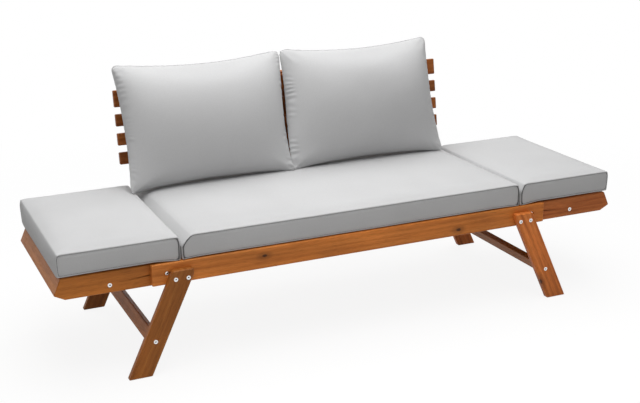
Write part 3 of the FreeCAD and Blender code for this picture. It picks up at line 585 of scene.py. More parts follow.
def corners(points):
    """The lowest and the highest corner of the box round some points."""
    low = Vector([min(p[k] for p in points) for k in range(3)])
    high = Vector([max(p[k] for p in points) for k in range(3)])
    return low, high


bolt_nodes = {"leg_bolts": "frame", "post_bolts": "frame",
              "left_wing_bolts": "left_wing", "right_wing_bolts": "right_wing"}
print("bolts in each node", [len(islands(node)) for node in bolt_nodes])

# %% [markdown]
# A bolt is a turned part with a rounded rim, a hexagon recess and a shank. It could be cut
# from a cylinder, but rings of points round an axis, joined from the tip over the head into
# the recess, give the whole shape in one go. The inside of the recess gets a nearly black
# steel: painted shade, for the dark inside of the recess.

# %% Turned bolts
HEX_FLATS = 0.0042
HEX_EASE = 0.0003
HEX_DEPTH = 0.75
TIP_EASE = 0.001
BELOW_SEAT = 0.001
RIM_SHARE = 0.97
HEAD_STEPS = 36
# The head's outline from its seat to its top, as shares of its radius and thickness
HEAD_OUTLINE = ((1.0, 0.0), (1.0, 0.35), (0.95, 0.68), (0.8, 0.92), (0.6, 1.0))


def turned_bolt(bm, points):
    """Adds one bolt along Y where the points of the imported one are."""
    low, high = corners(points)
    middle = (low + high) / 2
    radius = (high.x - low.x) / 2
    rim = [p for p in points if math.hypot(p.x - middle.x, p.z - middle.z) > RIM_SHARE * radius]
    rim_low = min(p.y for p in rim)
    rim_high = max(p.y for p in rim)
    outward = -1 if abs(rim_low - low.y) < abs(high.y - rim_high) else 1
    seat = rim_high if outward < 0 else rim_low
    thick = rim_high - rim_low
    shank = [p for p in points if outward * (p.y - seat) < -BELOW_SEAT]
    shank_radius = max(math.hypot(p.x - middle.x, p.z - middle.z) for p in shank)
    tip = low.y if outward > 0 else high.y

    def ring(reach, level, hexagon=False):
        made = []
        for k in range(HEAD_STEPS):
            turn = 2 * math.pi * k / HEAD_STEPS
            length = reach
            if hexagon:
                length = reach / math.cos((turn % (math.pi / 3)) - math.pi / 6)
            spot = (middle.x + length * math.cos(turn), level, middle.z + length * math.sin(turn))
            made.append(bm.verts.new(spot))
        return made

    top = seat + outward * thick
    rings = [ring(shank_radius * 0.8, tip), ring(shank_radius, tip + outward * TIP_EASE)]
    rings.append(ring(shank_radius, seat))
    rings += [ring(radius * share, seat + outward * thick * rise) for share, rise in HEAD_OUTLINE]
    rings.append(ring(HEX_FLATS / 2 + HEX_EASE, top, True))
    rings.append(ring(HEX_FLATS / 2, top - outward * HEX_EASE, True))
    rings.append(ring(HEX_FLATS / 2, top - outward * thick * HEX_DEPTH, True))
    for inner, outer in zip(rings, rings[1:]):
        for k in range(HEAD_STEPS):
            after = (k + 1) % HEAD_STEPS
            face = bm.faces.new((inner[k], inner[after], outer[after], outer[k]))
            # Recess walls and floor take slot 1, the nearly black steel that paints shade in the recess
            face.material_index = 1 if outer is rings[-1] else 0
    bm.faces.new(rings[0])
    bm.faces.new(rings[-1]).material_index = 1


def finish_mesh(name, bm, material, angle=0):
    """Turns a built mesh into an object; edges sharper than the angle, if given, stay sharp."""
    bmesh.ops.recalc_face_normals(bm, faces=bm.faces)
    mesh = bpy.data.meshes.new(name)
    bm.to_mesh(mesh)
    bm.free()
    mesh.materials.append(material)
    mesh.shade_smooth()
    if angle:
        mesh.set_sharp_from_angle(angle=math.radians(angle))
    piece = bpy.data.objects.new(name, mesh)
    scene.collection.objects.link(piece)
    return piece


for node, body in bolt_nodes.items():
    bm = bmesh.new()
    for solid in islands(node):
        turned_bolt(bm, solid)
    bolts = finish_mesh(node + "_turned", bm, bolt_steel, angle=35)
    bolts.data.materials.append(recess_shade_steel)
    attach(bolts, body)
    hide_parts(node)
    print(bolts.name, "points", len(bolts.data.vertices))

# %% [markdown]
# The covers are a plain light grey weave, close and even, with a soft matt face. Threads cross
# about every millimetre. The weave is laid on by the way the surface faces, so that it needs
# no unwrapping: threads on a top run along X and Y, on a front along X and Z.

# %% Weave group
SLUB_HEIGHT = 0.6
DRIFT_TINT = 0.55
SLUB_TINT = 0.45


def build_weave():
    """Height and tint of a plain weave over any surface."""
    group, given, out = start_group(
        "plain_weave",
        [("Position", "Vector"), ("Facing", "Vector"), ("Threads", "Float")],
        [("Height", "Float"), ("Tint", "Float"), ("Fuzz", "Float")])
    split = add(group, "SeparateXYZ")
    scaled = add(group, "VectorMath", operation="SCALE")
    group.links.new(given["Position"], scaled.inputs[0])
    group.links.new(given["Threads"], scaled.inputs["Scale"])
    group.links.new(scaled.outputs[0], split.inputs[0])
    waves = [math_node(group, "SINE", split.outputs[k]) for k in range(3)]
    normal = add(group, "VectorMath", operation="ABSOLUTE")
    group.links.new(given["Facing"], normal.inputs[0])
    faces = add(group, "SeparateXYZ")
    group.links.new(normal.outputs[0], faces.inputs[0])
    total = None
    for k in range(3):
        cross = math_node(group, "MULTIPLY", waves[(k + 1) % 3], waves[(k + 2) % 3])
        weight = math_node(group, "POWER", faces.outputs[k], 4.0)
        part = math_node(group, "MULTIPLY", cross, weight)
        total = part if total is None else math_node(group, "ADD", total, part)
    slub = add(group, "TexNoise", Scale=260.0, Detail=2.0)
    group.links.new(given["Position"], slub.inputs["Vector"])
    height = math_node(group, "ADD", total, math_node(group, "MULTIPLY", slub.outputs[0], SLUB_HEIGHT))
    group.links.new(height, out["Height"])
    drift = add(group, "TexNoise", Scale=5.0, Detail=3.0)
    group.links.new(given["Position"], drift.inputs["Vector"])
    tint = math_node(group, "ADD", math_node(group, "MULTIPLY", drift.outputs[0], DRIFT_TINT),
                     math_node(group, "MULTIPLY", slub.outputs[0], SLUB_TINT))
    group.links.new(tint, out["Tint"])
    group.links.new(slub.outputs[0], out["Fuzz"])
    return group


plain_weave = build_weave()
print("group", plain_weave.name, [s.name for s in plain_weave.interface.items_tree])

# %% [markdown]
# The cover cloth takes its tint, dullness and relief from the weave. Woven outdoor cloth has a
# faint sheen at grazing angles, which the shader's own sheen gives. The turned-in edges at the
# seams are the same cloth; their darker copies are painted shade, the dark one for the shadowed
# groove along the boxed cushions' seams.

# %% Cover cloth
THREADS = 5200.0


def cover_cloth(name, level):
    """The woven cover: tint from the weave, a dull roughness and a fine bump."""
    material, tree, shader = start_material(name)
    place = add(tree, "TexCoord")
    weave = add(tree, "Group", node_tree=plain_weave, Threads=THREADS)
    tree.links.new(place.outputs["Object"], weave.inputs["Position"])
    tree.links.new(place.outputs["Normal"], weave.inputs["Facing"])
    low, high = level * 0.95, level * 1.05
    colour = ramp(tree, weave.outputs["Tint"], [(0.3, (low, low, low * 1.005)),
                                                (0.7, (high, high, high * 1.005))])
    tree.links.new(colour, shader.inputs["Base Color"])
    rough = remap(tree, weave.outputs["Fuzz"], (0.2, 0.8), (0.8, 0.95))
    tree.links.new(rough, shader.inputs["Roughness"])
    bump = add(tree, "Bump", Strength=0.25, Distance=0.00025)
    tree.links.new(weave.outputs["Height"], bump.inputs["Height"])
    tree.links.new(bump.outputs[0], shader.inputs["Normal"])
    shader.inputs["Sheen Weight"].default_value = 0.12
    shader.inputs["Sheen Roughness"].default_value = 0.5
    shader.inputs["Specular IOR Level"].default_value = 0.25
    return material


cover_grey = cover_cloth("cover_grey", 0.50)
# Two darker copies of the cover: painted shade along the seams, slight on the pillows, deep on the boxed
# cushions
seam_grey = cover_cloth("seam_grey", 0.48)
seam_dark = cover_cloth("seam_dark", 0.11)
print("covers", cover_grey.name, seam_grey.name, seam_dark.name)

# %% [markdown]
# Padded covers get their shape from the filling. Cloth simulation does the same: the mesh is
# the cover, pressure is the filling, and the cloth is a little longer than its seam, so it
# gathers there. The simulation runs for a few frames, no point may move further than a cap,
# and the result is kept as a plain mesh.

# %% Filling a cover
FILL_FRAMES = 8
FILL_CAP = 0.006


def shown_mesh(piece):
    """The piece as its modifiers show it now."""
    return piece.evaluated_get(bpy.context.evaluated_depsgraph_get())


def fill_cover(piece, pressure, slack, seam_held):
    """Blows a cover up by cloth simulation; slack is the share by which cloth and seam differ."""
    cloth = piece.modifiers.new("filling", "CLOTH")
    settings = cloth.settings
    settings.quality = 5
    settings.mass = 0.3
    settings.tension_stiffness = 15
    settings.compression_stiffness = 15
    settings.shear_stiffness = 5
    settings.bending_stiffness = 4.0
    settings.use_pressure = True
    settings.uniform_pressure_force = pressure
    settings.effector_weights.gravity = 0
    if seam_held:
        settings.vertex_group_mass = "seam"
        settings.shrink_min = -slack
    else:
        settings.vertex_group_shrink = "seam"
        settings.shrink_max = slack
    cloth.point_cache.frame_start = 1
    cloth.point_cache.frame_end = FILL_FRAMES
    for step in range(1, FILL_FRAMES + 1):
        scene.frame_set(step)
        filled = [v.co.copy() for v in shown_mesh(piece).data.vertices]
    piece.modifiers.remove(cloth)
    scene.frame_set(1)
    for vertex, after in zip(piece.data.vertices, filled):
        move = after - vertex.co
        if move.length > FILL_CAP:
            move *= FILL_CAP / move.length
        vertex.co += move


print("filling runs", FILL_FRAMES, "frames, quick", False)

# %% [markdown]
# A seam has to be found again after the mesh is made finer. So its points are noted twice: as
# a group for the cloth, and as an attribute that subdividing carries along. A crease keeps the
# seam from being rounded away.

# %% Seams and finer meshes
SEAM_CREASE = 0.8


def mark_seam(piece, seam):
    """Notes the seam points of a cover and creases the edges between them."""
    piece.vertex_groups.new(name="seam").add(seam, 1.0, "REPLACE")
    weights = piece.data.attributes.new("seam_row", "FLOAT", "POINT")
    for index in seam:
        weights.data[index].value = 1.0
    sewn = set(seam)
    creases = piece.data.attributes.new("crease_edge", "FLOAT", "EDGE")
    for edge, crease in zip(piece.data.edges, creases.data):
        if edge.vertices[0] in sewn and edge.vertices[1] in sewn:
            crease.value = SEAM_CREASE


def finer(piece):
    """One subdivision, kept in the mesh, with the seam weights carried along."""
    smooth = piece.modifiers.new("finer", "SUBSURF")
    smooth.levels = 1
    smooth.render_levels = 1
    mesh = bpy.data.meshes.new_from_object(shown_mesh(piece))
    piece.modifiers.remove(smooth)
    piece.data = mesh
    mesh.name = piece.name
    mesh.shade_smooth()


def once_round(first, last_a, last_b):
    """The places along the border of a grid, once round."""
    path = [(a, first) for a in range(first, last_a)] + [(last_a, b) for b in range(first, last_b)]
    path += [(a, last_b) for a in range(last_a, first, -1)] + [(first, b) for b in range(last_b, first, -1)]
    return path


print("seams are creased by", SEAM_CREASE)

# %% [markdown]
# The seat and wing cushions are boxed: one long strip of cloth wraps over the top, both ends
# and the underside, turns a few millimetres round each edge, and there a flat panel is sewn in
# at the front and the rear. Where two cushions meet, the end has a sewn ridge near half height
# and is cut back above it: far at the left end of the seat and of the right wing cushion,
# hardly at the right end of the seat and of the left wing cushion. The cover could be a
# rounded box, but it starts as the surface of a box of small squares and is bent, so that
# every seam is a known row.

# %% Shape of a boxed cover
PAD_SWELL = 0.0025
PAD_CROWN = 0.006
PAD_UNEVEN = 0.0005
RIDGE_LEVEL = -0.08
RIDGE_OUT = 0.0012
END_REACH = 0.05
LOW_EASE = 0.001
LOW_CORNER = 0.0025
LOW_CORNER_REACH = 0.03
FREE_LEAN = 0.003
FREE_TOP = 0.005
SHOULDER_DROP = 0.0015
SHOULDER_SLOPE = 0.09
SHOULDER_REACH = 0.035
LIFT_REACH = 0.034
LIFT_JOINT_REACH = 0.08
HEM_LIFT = 0.003
HEM_REACH = 0.008
HEM_JOINT_REACH = 0.04


def fade(distance, reach):
    """1 at no distance, falling evenly to 0 at the reach."""
    return max(0.0, 1 - distance / reach)


def end_setback(level, cut_back, to_edge):
    """How far an end lies back from its outermost point, at a height from -1 to 1.

    A free end has no cut. Below the ridge of a joined end the corners next to the panels
    are rounded off most."""
    if cut_back and level > RIDGE_LEVEL:
        return cut_back * ((level - RIDGE_LEVEL) / (1 - RIDGE_LEVEL)) ** 1.5
    if cut_back:
        corner = fade(to_edge, LOW_CORNER_REACH)
        return (LOW_EASE + LOW_CORNER * corner) * ((RIDGE_LEVEL - level) / (1 + RIDGE_LEVEL)) ** 3
    return PAD_SWELL + FREE_LEAN * (1 - level) / 2 + FREE_TOP * max(0.0, (level - 0.5) / 0.5) ** 2


def bent(x, y, z, half, cuts, edge_lift, rear_rise, seed):
    """Where a point of the plain box goes on the cover, both seen from the middle of the box."""
    level = z / half[2]
    cut_back = cuts[x > 0]
    to_end = half[0] - abs(x)
    to_edge = half[1] - abs(y)
    dome = (1 - (x / half[0]) ** 4) * (1 - (y / half[1]) ** 4)
    z += (PAD_CROWN * dome + rear_rise * (y / half[1] + 1) / 2) * (level + 1) / 2
    z -= (SHOULDER_DROP + SHOULDER_SLOPE * cut_back) * fade(to_end, SHOULDER_REACH) ** 2 * max(0.0, level)
    lift = edge_lift
    hem = HEM_LIFT
    setback = end_setback(level, cut_back, to_edge)
    if cut_back:
        lift *= min(1.0, 0.1 + (to_end / LIFT_JOINT_REACH) ** 2)
        hem *= min(1.0, (to_end / HEM_JOINT_REACH) ** 2)
        setback -= RIDGE_OUT
    z += max(0.0, -level) * lift * fade(to_edge, LIFT_REACH)
    z += max(0.0, -level) * hem * fade(to_edge, HEM_REACH) ** 2
    x -= math.copysign(setback * fade(to_end, END_REACH + 2 * cut_back) ** 2, x)
    z += PAD_UNEVEN * noise.noise(Vector((x * 9 + seed, y * 9, z * 9)))
    return x, y, z


print("crown", PAD_CROWN, "hem lift", HEM_LIFT)

# %% [markdown]
# Now the box itself. Its squares are even, apart from a narrow rim at each edge, where the
# strip turns round to meet the panel. The seam rows are read off by their grid numbers: one
# loop round each panel, and one ridge across each joined end.

# %% Cover of small squares
PAD_STEP = 0.0095
PAD_THICK = 0.0745
RIM = 0.0042
SQUARE = ((0, 0), (1, 0), (1, 1), (0, 1))


def spread(k, count, half):
    """Places along one edge of the box: evenly spaced, but a narrow rim at each end."""
    if k in (0, count):
        return half * (2 * k / count - 1)
    return (half - RIM) * (2 * (k - 1) / (count - 2) - 1)


def boxed_cover(name, low, high, cuts, edge_lift, rear_rise):
    """The closed cover of a boxed cushion between two corners, before it is filled."""
    half = [(high[0] - low[0]) / 2, (high[1] - low[1]) / 2 - PAD_SWELL, PAD_THICK / 2]
    middle = [(high[k] + low[k]) / 2 for k in range(3)]
    middle[2] = low[2] + half[2]
    count = [max(4, round(2 * h / PAD_STEP)) for h in half]
    bm = bmesh.new()
    made = {}

    def point(*spot):
        if spot not in made:
            plain = [spread(step, total, h) for step, total, h in zip(spot, count, half)]
            moved = bent(*plain, half, cuts, edge_lift, rear_rise, middle[0] * 5)
            made[spot] = bm.verts.new([m + p for m, p in zip(middle, moved)])
        return made[spot]

    for axis in range(3):
        across, along = [a for a in range(3) if a != axis]
        for side in (0, count[axis]):
            for a in range(count[across]):
                for b in range(count[along]):
                    quad = []
                    for step_a, step_b in SQUARE:
                        spot = [0, 0, 0]
                        spot[axis] = side
                        spot[across] = a + step_a
                        spot[along] = b + step_b
                        quad.append(point(*spot))
                    bm.faces.new(quad)
    bm.verts.index_update()
    loop = once_round(1, count[0] - 1, count[2] - 1)
    rows = [[made[(i, j, k)].index for i, k in loop] for j in (0, count[1])]
    ridge = round(count[2] * (1 + RIDGE_LEVEL) / 2)
    for i, cut_back in zip((0, count[0]), cuts):
        if cut_back:
            rows.append([made[(i, j, ridge)].index for j in range(count[1] + 1)])
    piece = finish_mesh(name, bm, cover_grey)
    mark_seam(piece, sorted({index for row in rows for index in row}))
    return piece, rows


print("squares of", PAD_STEP, "m, rim", RIM)

# %% [markdown]
# After filling, three small corrections follow what a sewer does: the panels are sewn in flat,
# the thread pulls the seams into the padding, and the cushion has to fit its room. Finer
# simulation could do this too, but moving the known points is quicker and exact.

# %% Panels, seams and room
PANEL_SWELL = 0.35
SEAM_PRESS = 0.0013
BESIDE_SEAM = 0.3
END_FACING = 0.8


def flatten_panels(piece, rows):
    """Takes most of the swell out of the front and rear panels, which are sewn in flat."""
    for row, outward in zip(rows, (-1, 1)):
        level = sum(piece.data.vertices[index].co.y for index in row) / len(row)
        for vertex in piece.data.vertices:
            proud = outward * (vertex.co.y - level)
            if proud > 0:
                vertex.co.y = level + outward * PANEL_SWELL * proud


def press_seams(piece):
    """Pulls the seam rows into the padding and lifts the cloth beside them, but not at the ends."""
    weights = [w.value for w in piece.data.attributes["seam_row"].data]
    normals = [v.normal.copy() for v in piece.data.vertices]
    for vertex, weight, normal in zip(piece.data.vertices, weights, normals):
        if abs(normal.x) > END_FACING:
            continue
        if weight > 0.6:
            vertex.co -= normal * SEAM_PRESS
        elif weight > 0.1:
            vertex.co += normal * SEAM_PRESS * BESIDE_SEAM


def keep_inside(piece, low, high):
    """Holds a cover inside its own room, so that neighbours stay clear and the underside is flat."""
    for vertex in piece.data.vertices:
        for axis in range(3):
            vertex.co[axis] = min(max(vertex.co[axis], low[axis]), high[axis])


print("panels keep", PANEL_SWELL, "of their swell, seams go in", SEAM_PRESS)

# %% [markdown]
# Along each seam the turned-in edges of the cloth show as a thin line, which on the boxed
# cushions is dark: painted shade for the shadowed groove of the seam. A bump in the material
# would not follow the seam, so a thin curve is laid along its points, wider where the seam
# runs up an end, and turned into a mesh.

# %% Sewn edges
STEEP_GAIN = 1.5
EDGE_OUT = 0.35
CLOSED_GAP = 0.03


def sewn_edge(name, piece, rows, material, width_at):
    """The thin turned-in edges of the cloth, seen as a line along each seam."""
    curve = bpy.data.curves.new(name, "CURVE")
    curve.dimensions = "3D"
    curve.bevel_depth = 1.0
    curve.bevel_resolution = 1
    for row in rows:
        seam = [piece.data.vertices[index] for index in row]
        line = curve.splines.new("POLY")
        line.points.add(len(seam) - 1)
        for k, (spot, vertex) in enumerate(zip(line.points, seam)):
            run = seam[(k + 1) % len(seam)].co - seam[k - 1].co
            spot.radius = width_at(vertex.co, min(1.0, STEEP_GAIN * abs(run.z) / run.length))
            spot.co = (*(vertex.co + vertex.normal * spot.radius * EDGE_OUT), 1)
        line.use_cyclic_u = (seam[0].co - seam[-1].co).length < CLOSED_GAP
    drawn = bpy.data.objects.new(name + "_path", curve)
    mesh = bpy.data.meshes.new_from_object(drawn)
    mesh.name = name
    mesh.materials.clear()
    mesh.materials.append(material)
    mesh.shade_smooth()
    bpy.data.objects.remove(drawn)
    edge = bpy.data.objects.new(name, mesh)
    scene.collection.objects.link(edge)
    return edge


def hand_over(piece, edge, node, body):
    """Puts a cushion and its seam on a body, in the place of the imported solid."""
    for part in (piece, edge):
        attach(part, body)
    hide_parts(node)
    low, high = corners([v.co for v in piece.data.vertices])
    print(piece.name, rounded(high - low), "points", len(piece.data.vertices))


print("sewn edges ready")

# %% [markdown]
# The three boxed cushions differ in the cut of their ends. A wing cushion's lower edges curl
# up a little at the front and the rear, and the left one rises to the rear and stands a little
# proud at its free end. At the joints the dark seam line is thick, and thickest low down:
# painted shade for the dark gap where two cushions meet. One function makes all three, with a
# width for the seam that depends on the place.

# %% Boxed cushions
FREE_END = 0.0
WING_LIFT = 0.0042
FREE_ROOM = 0.006
SIDE_ROOM = 0.003
TOP_ROOM = 0.004
SEAM_FINE = 0.0004
SEAM_FREE = 0.0003
# Seam line widths; the widths at joined ends paint the shade in the gap between two cushions
SEAM_JOINED = 0.0016
SEAM_SHADE_LOW = 0.0014
SEAM_SHADE_REACH = 0.022


def boxed_cushion(name, node, body, cuts, edge_lift, rear_rise=0.0, proud=0.0):
    """A filled boxed cushion in the place of its solid, its left end a little proud."""
    low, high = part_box(node)
    low.x -= proud
    piece, rows = boxed_cover(name, low, high, cuts, edge_lift, rear_rise)
    fill_cover(piece, pressure=0.8, slack=0.004, seam_held=False)
    finer(piece)
    flatten_panels(piece, rows)
    press_seams(piece)
    left_room, right_room = [RIDGE_OUT if cut_back else FREE_ROOM for cut_back in cuts]
    keep_inside(piece, low - Vector((left_room, SIDE_ROOM, 0.0)),
                high + Vector((right_room, SIDE_ROOM, TOP_ROOM)))

    # Wide dark line at joined ends, widest near the bottom: painted shade of the gap between cushions
    def seam_width(spot, steepness):
        extra = SEAM_FREE
        if cuts[spot.x > (low.x + high.x) / 2]:
            extra = SEAM_JOINED + SEAM_SHADE_LOW * fade(spot.z - low.z, SEAM_SHADE_REACH)
        return SEAM_FINE + extra * steepness

    # The dark seam line is painted shade for the groove along each seam
    edge = sewn_edge(name + "_seam", piece, rows, seam_dark, seam_width)
    hand_over(piece, edge, node, body)
    return piece


seat_pad = boxed_cushion("seat_pad", "seat_cushion", "frame", (0.030, 0.007), 0.0)
left_pad = boxed_cushion("left_wing_pad", "left_wing_cushion", "left_wing_cushion",
                         (FREE_END, 0.006), WING_LIFT, rear_rise=0.008, proud=0.006)
boxed_cushion("right_wing_pad", "right_wing_cushion", "right_wing_cushion", (0.014, FREE_END), WING_LIFT)

# %% [markdown]
# The back pillows are two equal panels sewn together all round, with nothing between them at
# the seam. The seam leans back, yet the front is nearly upright, so a pillow is thickest above
# half height, and it is flatter at the rear, where it rests on the slats. Its foot is rolled
# back under it. An inflated square would be alike all round, so each of these is a curve.

# %% Pillow profile
SWELL_FRONT = 0.088
SWELL_REAR = 0.046
TUCK = 0.034
# Brings the fullest place of the front to 1
FRONT_PEAK = 1.1176


def front_fullness(t):
    """How far the front stands out, from the lower seam (-1) to the upper one (1)."""
    return (1 - t) ** 0.5 * (1 + t) ** 1.087 / FRONT_PEAK


def rear_fullness(t):
    """The same for the rear, which is pressed flatter by the slats."""
    return (1 - t * t) ** 0.75


def side_fullness(t):
    """The same from side to side: an even swell that ends in rounded sides."""
    return (1 - abs(t) ** 3.6) ** 0.62


def tuck(height):
    """How far the foot is rolled back under the pillow, at a height above the lower seam."""
    low = fade(height, TUCK)
    return TUCK * (1 - math.sqrt(1 - low * low))


print("fullness at half height", round(front_fullness(0), 2), "front", round(rear_fullness(0), 2), "rear")

# %% [markdown]
# Rows of points are spread evenly along that profile, so that the cloth has the right length
# everywhere. Evenly spaced rows seen from the front would be stretched at the rim. The sides,
# the top and the lower seam are drawn in between the corners, and the corners are rounded.

# %% Rows and outline
PILLOW_STEP = 0.0085
PROFILE_STEPS = 600
CORNER_ROUND = 0.026
DRAW_TOP = 0.022
DRAW_LOW = 0.011
SEAM_CURVE = 2.0


def even_rows(reach, profile):
    """Places from -1 to 1 that lie evenly along a profile of the given half length."""
    fine = [k / PROFILE_STEPS - 1 for k in range(2 * PROFILE_STEPS + 1)]
    heights = [profile(s) for s in fine]
    along = [0.0]
    for k in range(2 * PROFILE_STEPS):
        along.append(along[-1] + math.hypot(reach / PROFILE_STEPS, heights[k + 1] - heights[k]))
    count = round(along[-1] / PILLOW_STEP)
    places = []
    k = 0
    for step in range(count + 1):
        while k < 2 * PROFILE_STEPS and along[k] < along[-1] * step / count - 1e-9:
            k += 1
        places.append(fine[k])
    return places


def outline_point(u, w, half_u, half_w, side_draws):
    """A point of the panel, from -1 to 1 each way, inside sides that are drawn in."""
    x = u * (half_u - side_draws[u > 0] * (1 - abs(w) ** SEAM_CURVE))
    draw = DRAW_TOP if w > 0 else DRAW_LOW
    y = w * (half_w - draw * (1 - abs(u) ** SEAM_CURVE))
    corner_x = fade(half_u - abs(x), CORNER_ROUND)
    corner_y = fade(half_w - abs(y), CORNER_ROUND)
    x -= math.copysign(CORNER_ROUND * corner_x * (1 - math.sqrt(1 - corner_y ** 2 / 2)), x)
    y -= math.copysign(CORNER_ROUND * corner_y * (1 - math.sqrt(1 - corner_x ** 2 / 2)), y)
    return x, y


print("rows every", PILLOW_STEP, "m along the cloth")

# %% [markdown]
# The cover is built lying down, its front upward: first the front panel, then the rear one,
# which shares the points of the seam. Both start nearly full, because a flat cover blown up
# by simulation alone would crumple at its corners.

# %% Pillow cover
PILLOW_LEAN = math.radians(19.5)
START_SHARE = 0.97
COVER_UNEVEN = 0.0004


def pillow_cover(name, wide, tall, side_draws, seed):
    """Two panels that share their outline, already swollen most of the way."""
    columns = even_rows(wide / 2, lambda u: SWELL_FRONT * side_fullness(u))
    rows = even_rows(tall / 2, lambda w: SWELL_FRONT * front_fullness(w) - tuck((w + 1) * tall / 2))
    last_u, last_w = len(columns) - 1, len(rows) - 1
    bm = bmesh.new()
    made = {}
    for face, swell, fullness in ((1, SWELL_FRONT, front_fullness), (-1, SWELL_REAR, rear_fullness)):
        for j, w in enumerate(rows):
            for i, u in enumerate(columns):
                if face < 0 and (i in (0, last_u) or j in (0, last_w)):
                    made[(face, i, j)] = made[(1, i, j)]
                    continue
                x, y = outline_point(u, w, wide / 2, tall / 2, side_draws)
                uneven = noise.noise(Vector((x * 18 + seed, y * 18, face * 3.0)))
                z = face * START_SHARE * swell * side_fullness(u) * fullness(w) + COVER_UNEVEN * uneven
                z -= tuck((w + 1) * tall / 2) * (1 - u ** 8)
                made[(face, i, j)] = bm.verts.new((x, y - z * math.tan(PILLOW_LEAN), z))
        for j in range(last_w):
            for i in range(last_u):
                bm.faces.new([made[(face, i + a, j + b)] for a, b in SQUARE])
    bm.verts.index_update()
    seam = [made[(1, i, j)].index for i, j in once_round(0, last_u, last_w)]
    piece = finish_mesh(name, bm, cover_grey)
    mark_seam(piece, seam)
    return piece, seam


print("pillow covers start", START_SHARE, "full")

# %% [markdown]
# Real pillows are never smooth at the seam: the thread gathers the cloth into short pleats,
# most at the inner sides, and creases run out of the corners. Before filling, the cover is
# evened out so that no hard ridge is left. The pleats are waves along the seam, with a noise
# that makes them come and go.

# %% Evening and gathering
EVEN_ROUNDS = 12
PLEAT_LENGTH = 0.019
PLEAT_HEIGHT = 0.0026
PLEAT_PLACE = 0.010
PLEAT_WIDTH = 0.010
OUTER_SHARE = 0.4
TOP_LENGTH = 0.036
TOP_HEIGHT = 0.0005
TOP_PLACE = 0.016
TOP_WIDTH = 0.014
CREASE_HEIGHT = 0.0008
CREASE_PLACE = 0.045
CREASE_WIDTH = 0.03
WAVE_HEIGHT = 0.0008


def even_out(piece):
    """Evens the cover between its seams, so that no hard ridge runs out of a corner."""
    even = piece.modifiers.new("even", "SMOOTH")
    even.factor = 0.5
    even.iterations = EVEN_ROUNDS
    even.vertex_group = "seam"
    even.invert_vertex_group = True
    evened = [v.co.copy() for v in shown_mesh(piece).data.vertices]
    piece.modifiers.remove(even)
    for vertex, spot in zip(piece.data.vertices, evened):
        vertex.co = spot


def near(distance, place, width):
    """1 at a distance from the seam, falling softly to 0 on both sides of it."""
    return math.exp(-((distance - place) / width) ** 2)


def gather(piece, wide, tall, side_draws, seed, inner):
    """Pleats at the side seams, strongest at the inner one, and creases out of the corners."""
    normals = [v.normal.copy() for v in piece.data.vertices]
    for vertex, normal in zip(piece.data.vertices, normals):
        x, y, z = vertex.co
        face = 1 if z > 0 else -1
        to_side = wide / 2 - side_draws[x > 0] * (1 - min(1.0, abs(2 * y / tall)) ** SEAM_CURVE) - abs(x)
        wander = noise.noise(Vector((x * 14 + seed, y * 14, face)))
        strength = max(0.0, 0.55 + 1.1 * noise.noise(Vector((x * 3 + seed, y * 15 + seed, face * 4))))
        if inner * x < 0:
            strength *= OUTER_SHARE
        pleats = math.sin(y * 2 * math.pi / PLEAT_LENGTH + 13 * wander + seed * face)
        lift = PLEAT_HEIGHT * strength * pleats * near(to_side, PLEAT_PLACE, PLEAT_WIDTH)
        ends = math.sin(x * 2 * math.pi / TOP_LENGTH + 5 * wander)
        lift += TOP_HEIGHT * ends * near(tall / 2 - y, TOP_PLACE, TOP_WIDTH)
        far = math.hypot(wide / 2 - abs(x), tall / 2 - abs(y))
        angle = math.atan2(tall / 2 - abs(y), wide / 2 - abs(x))
        creases = math.cos(9 * angle + 3 * wander + seed)
        lift += CREASE_HEIGHT * creases * near(far, CREASE_PLACE, CREASE_WIDTH)
        lift += WAVE_HEIGHT * noise.noise(Vector((x * 6 + seed * 3, y * 6, face * 2)))
        vertex.co += normal * lift


print("pleats every", PLEAT_LENGTH, "m, up to", PLEAT_HEIGHT, "high")

# %% [markdown]
# Last the pillow is stood up. Its foot slides forward on the soft seat, more at its left end,
# sinks in a little and spreads. Both inner sides bow to the left low down, as in the
# photograph, so that the centre post shows between them. Where a foot would dip into a
# cushion, rays cast from above find the cushion's top and the foot is lifted onto it.

# %% Back pillows
CORNER_OUT = 0.003
SPREAD = 0.0015
SINK = 0.004
BOW = 0.018
DRAW_OUTER = 0.014
DRAW_INNER = 0.0075
ABOVE_ALL = Vector((0, 0, 0.2))
DOWN = Vector((0, 0, -1))
FOOT_GAP = 0.0008
PILLOW_SEAM = 0.0009


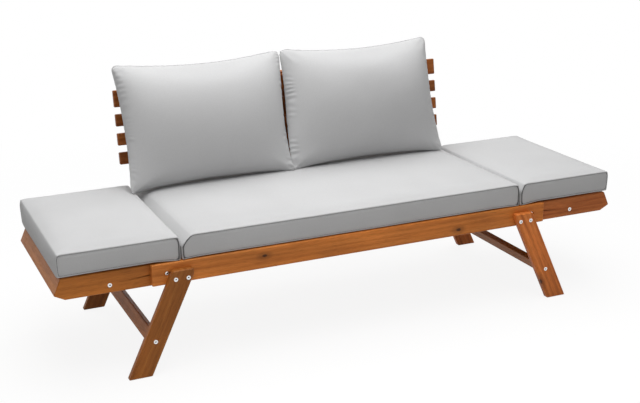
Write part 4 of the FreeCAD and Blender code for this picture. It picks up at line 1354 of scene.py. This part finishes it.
def rest_on(piece, support):
    """Lifts the foot of a pillow where it would dip into the cushion below."""
    under = BVHTree.FromPolygons([v.co for v in support.data.vertices],
                                 [p.vertices for p in support.data.polygons])
    for vertex in piece.data.vertices:
        hit = under.ray_cast(vertex.co + ABOVE_ALL, DOWN)[0]
        if hit:
            vertex.co.z = max(vertex.co.z, hit.z + FOOT_GAP)


def stand_up(piece, wide, tall, middle, advance, twist, inner):
    """Turns a lying pillow upright about its middle, and moves its foot and its inner side."""
    stand = Matrix.Rotation(math.pi / 2 - PILLOW_LEAN, 4, "X")
    for vertex in piece.data.vertices:
        lowness = max(0.0, 0.5 - vertex.co.y / tall)
        forward = (advance + twist * (0.5 - vertex.co.x / wide)) * lowness
        bow = BOW * math.sin(math.pi * 0.8 * min(1.0, lowness) ** 1.7)
        toward_inner = max(0.0, inner * 2 * vertex.co.x / wide)
        vertex.co.x *= 1 + 2 * SPREAD / wide * lowness
        vertex.co.x -= bow * min(1.0, toward_inner) ** 2
        vertex.co = stand @ vertex.co + middle - Vector((0, forward, SINK * lowness))


def back_pillow(name, node, foot, side_draws, advance, twist, seed, inner):
    """A filled pillow that stands on the seat at its foot and leans where its solid leans.

    The inner side, 1 for the right and -1 for the left, is the one next to the other pillow."""
    low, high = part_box(node)
    wide = high.x - low.x + 2 * CORNER_OUT
    tall = (high.z - low.z) / math.cos(PILLOW_LEAN)
    piece, seam = pillow_cover(name, wide, tall, side_draws, seed)
    even_out(piece)
    fill_cover(piece, pressure=1.5, slack=0.001, seam_held=True)
    finer(piece)
    gather(piece, wide, tall, side_draws, seed, inner)
    middle = (low + high) / 2
    middle.y = foot + tall / 2 * math.sin(PILLOW_LEAN)
    stand_up(piece, wide, tall, middle, advance, twist, inner)
    rest_on(piece, seat_pad)
    rest_on(piece, left_pad)
    edge = sewn_edge(name + "_seam", piece, [seam], seam_grey, lambda spot, steepness: PILLOW_SEAM)
    hand_over(piece, edge, node, "frame")


back_pillow("left_back_pillow", "back_cushion_left", foot=0.1435, side_draws=(DRAW_OUTER, DRAW_INNER),
            advance=0.024, twist=0.012, seed=1.7, inner=1)
back_pillow("right_back_pillow", "back_cushion_right", foot=0.1355, side_draws=(DRAW_INNER, DRAW_OUTER),
            advance=0.006, twist=0.004, seed=4.3, inner=-1)
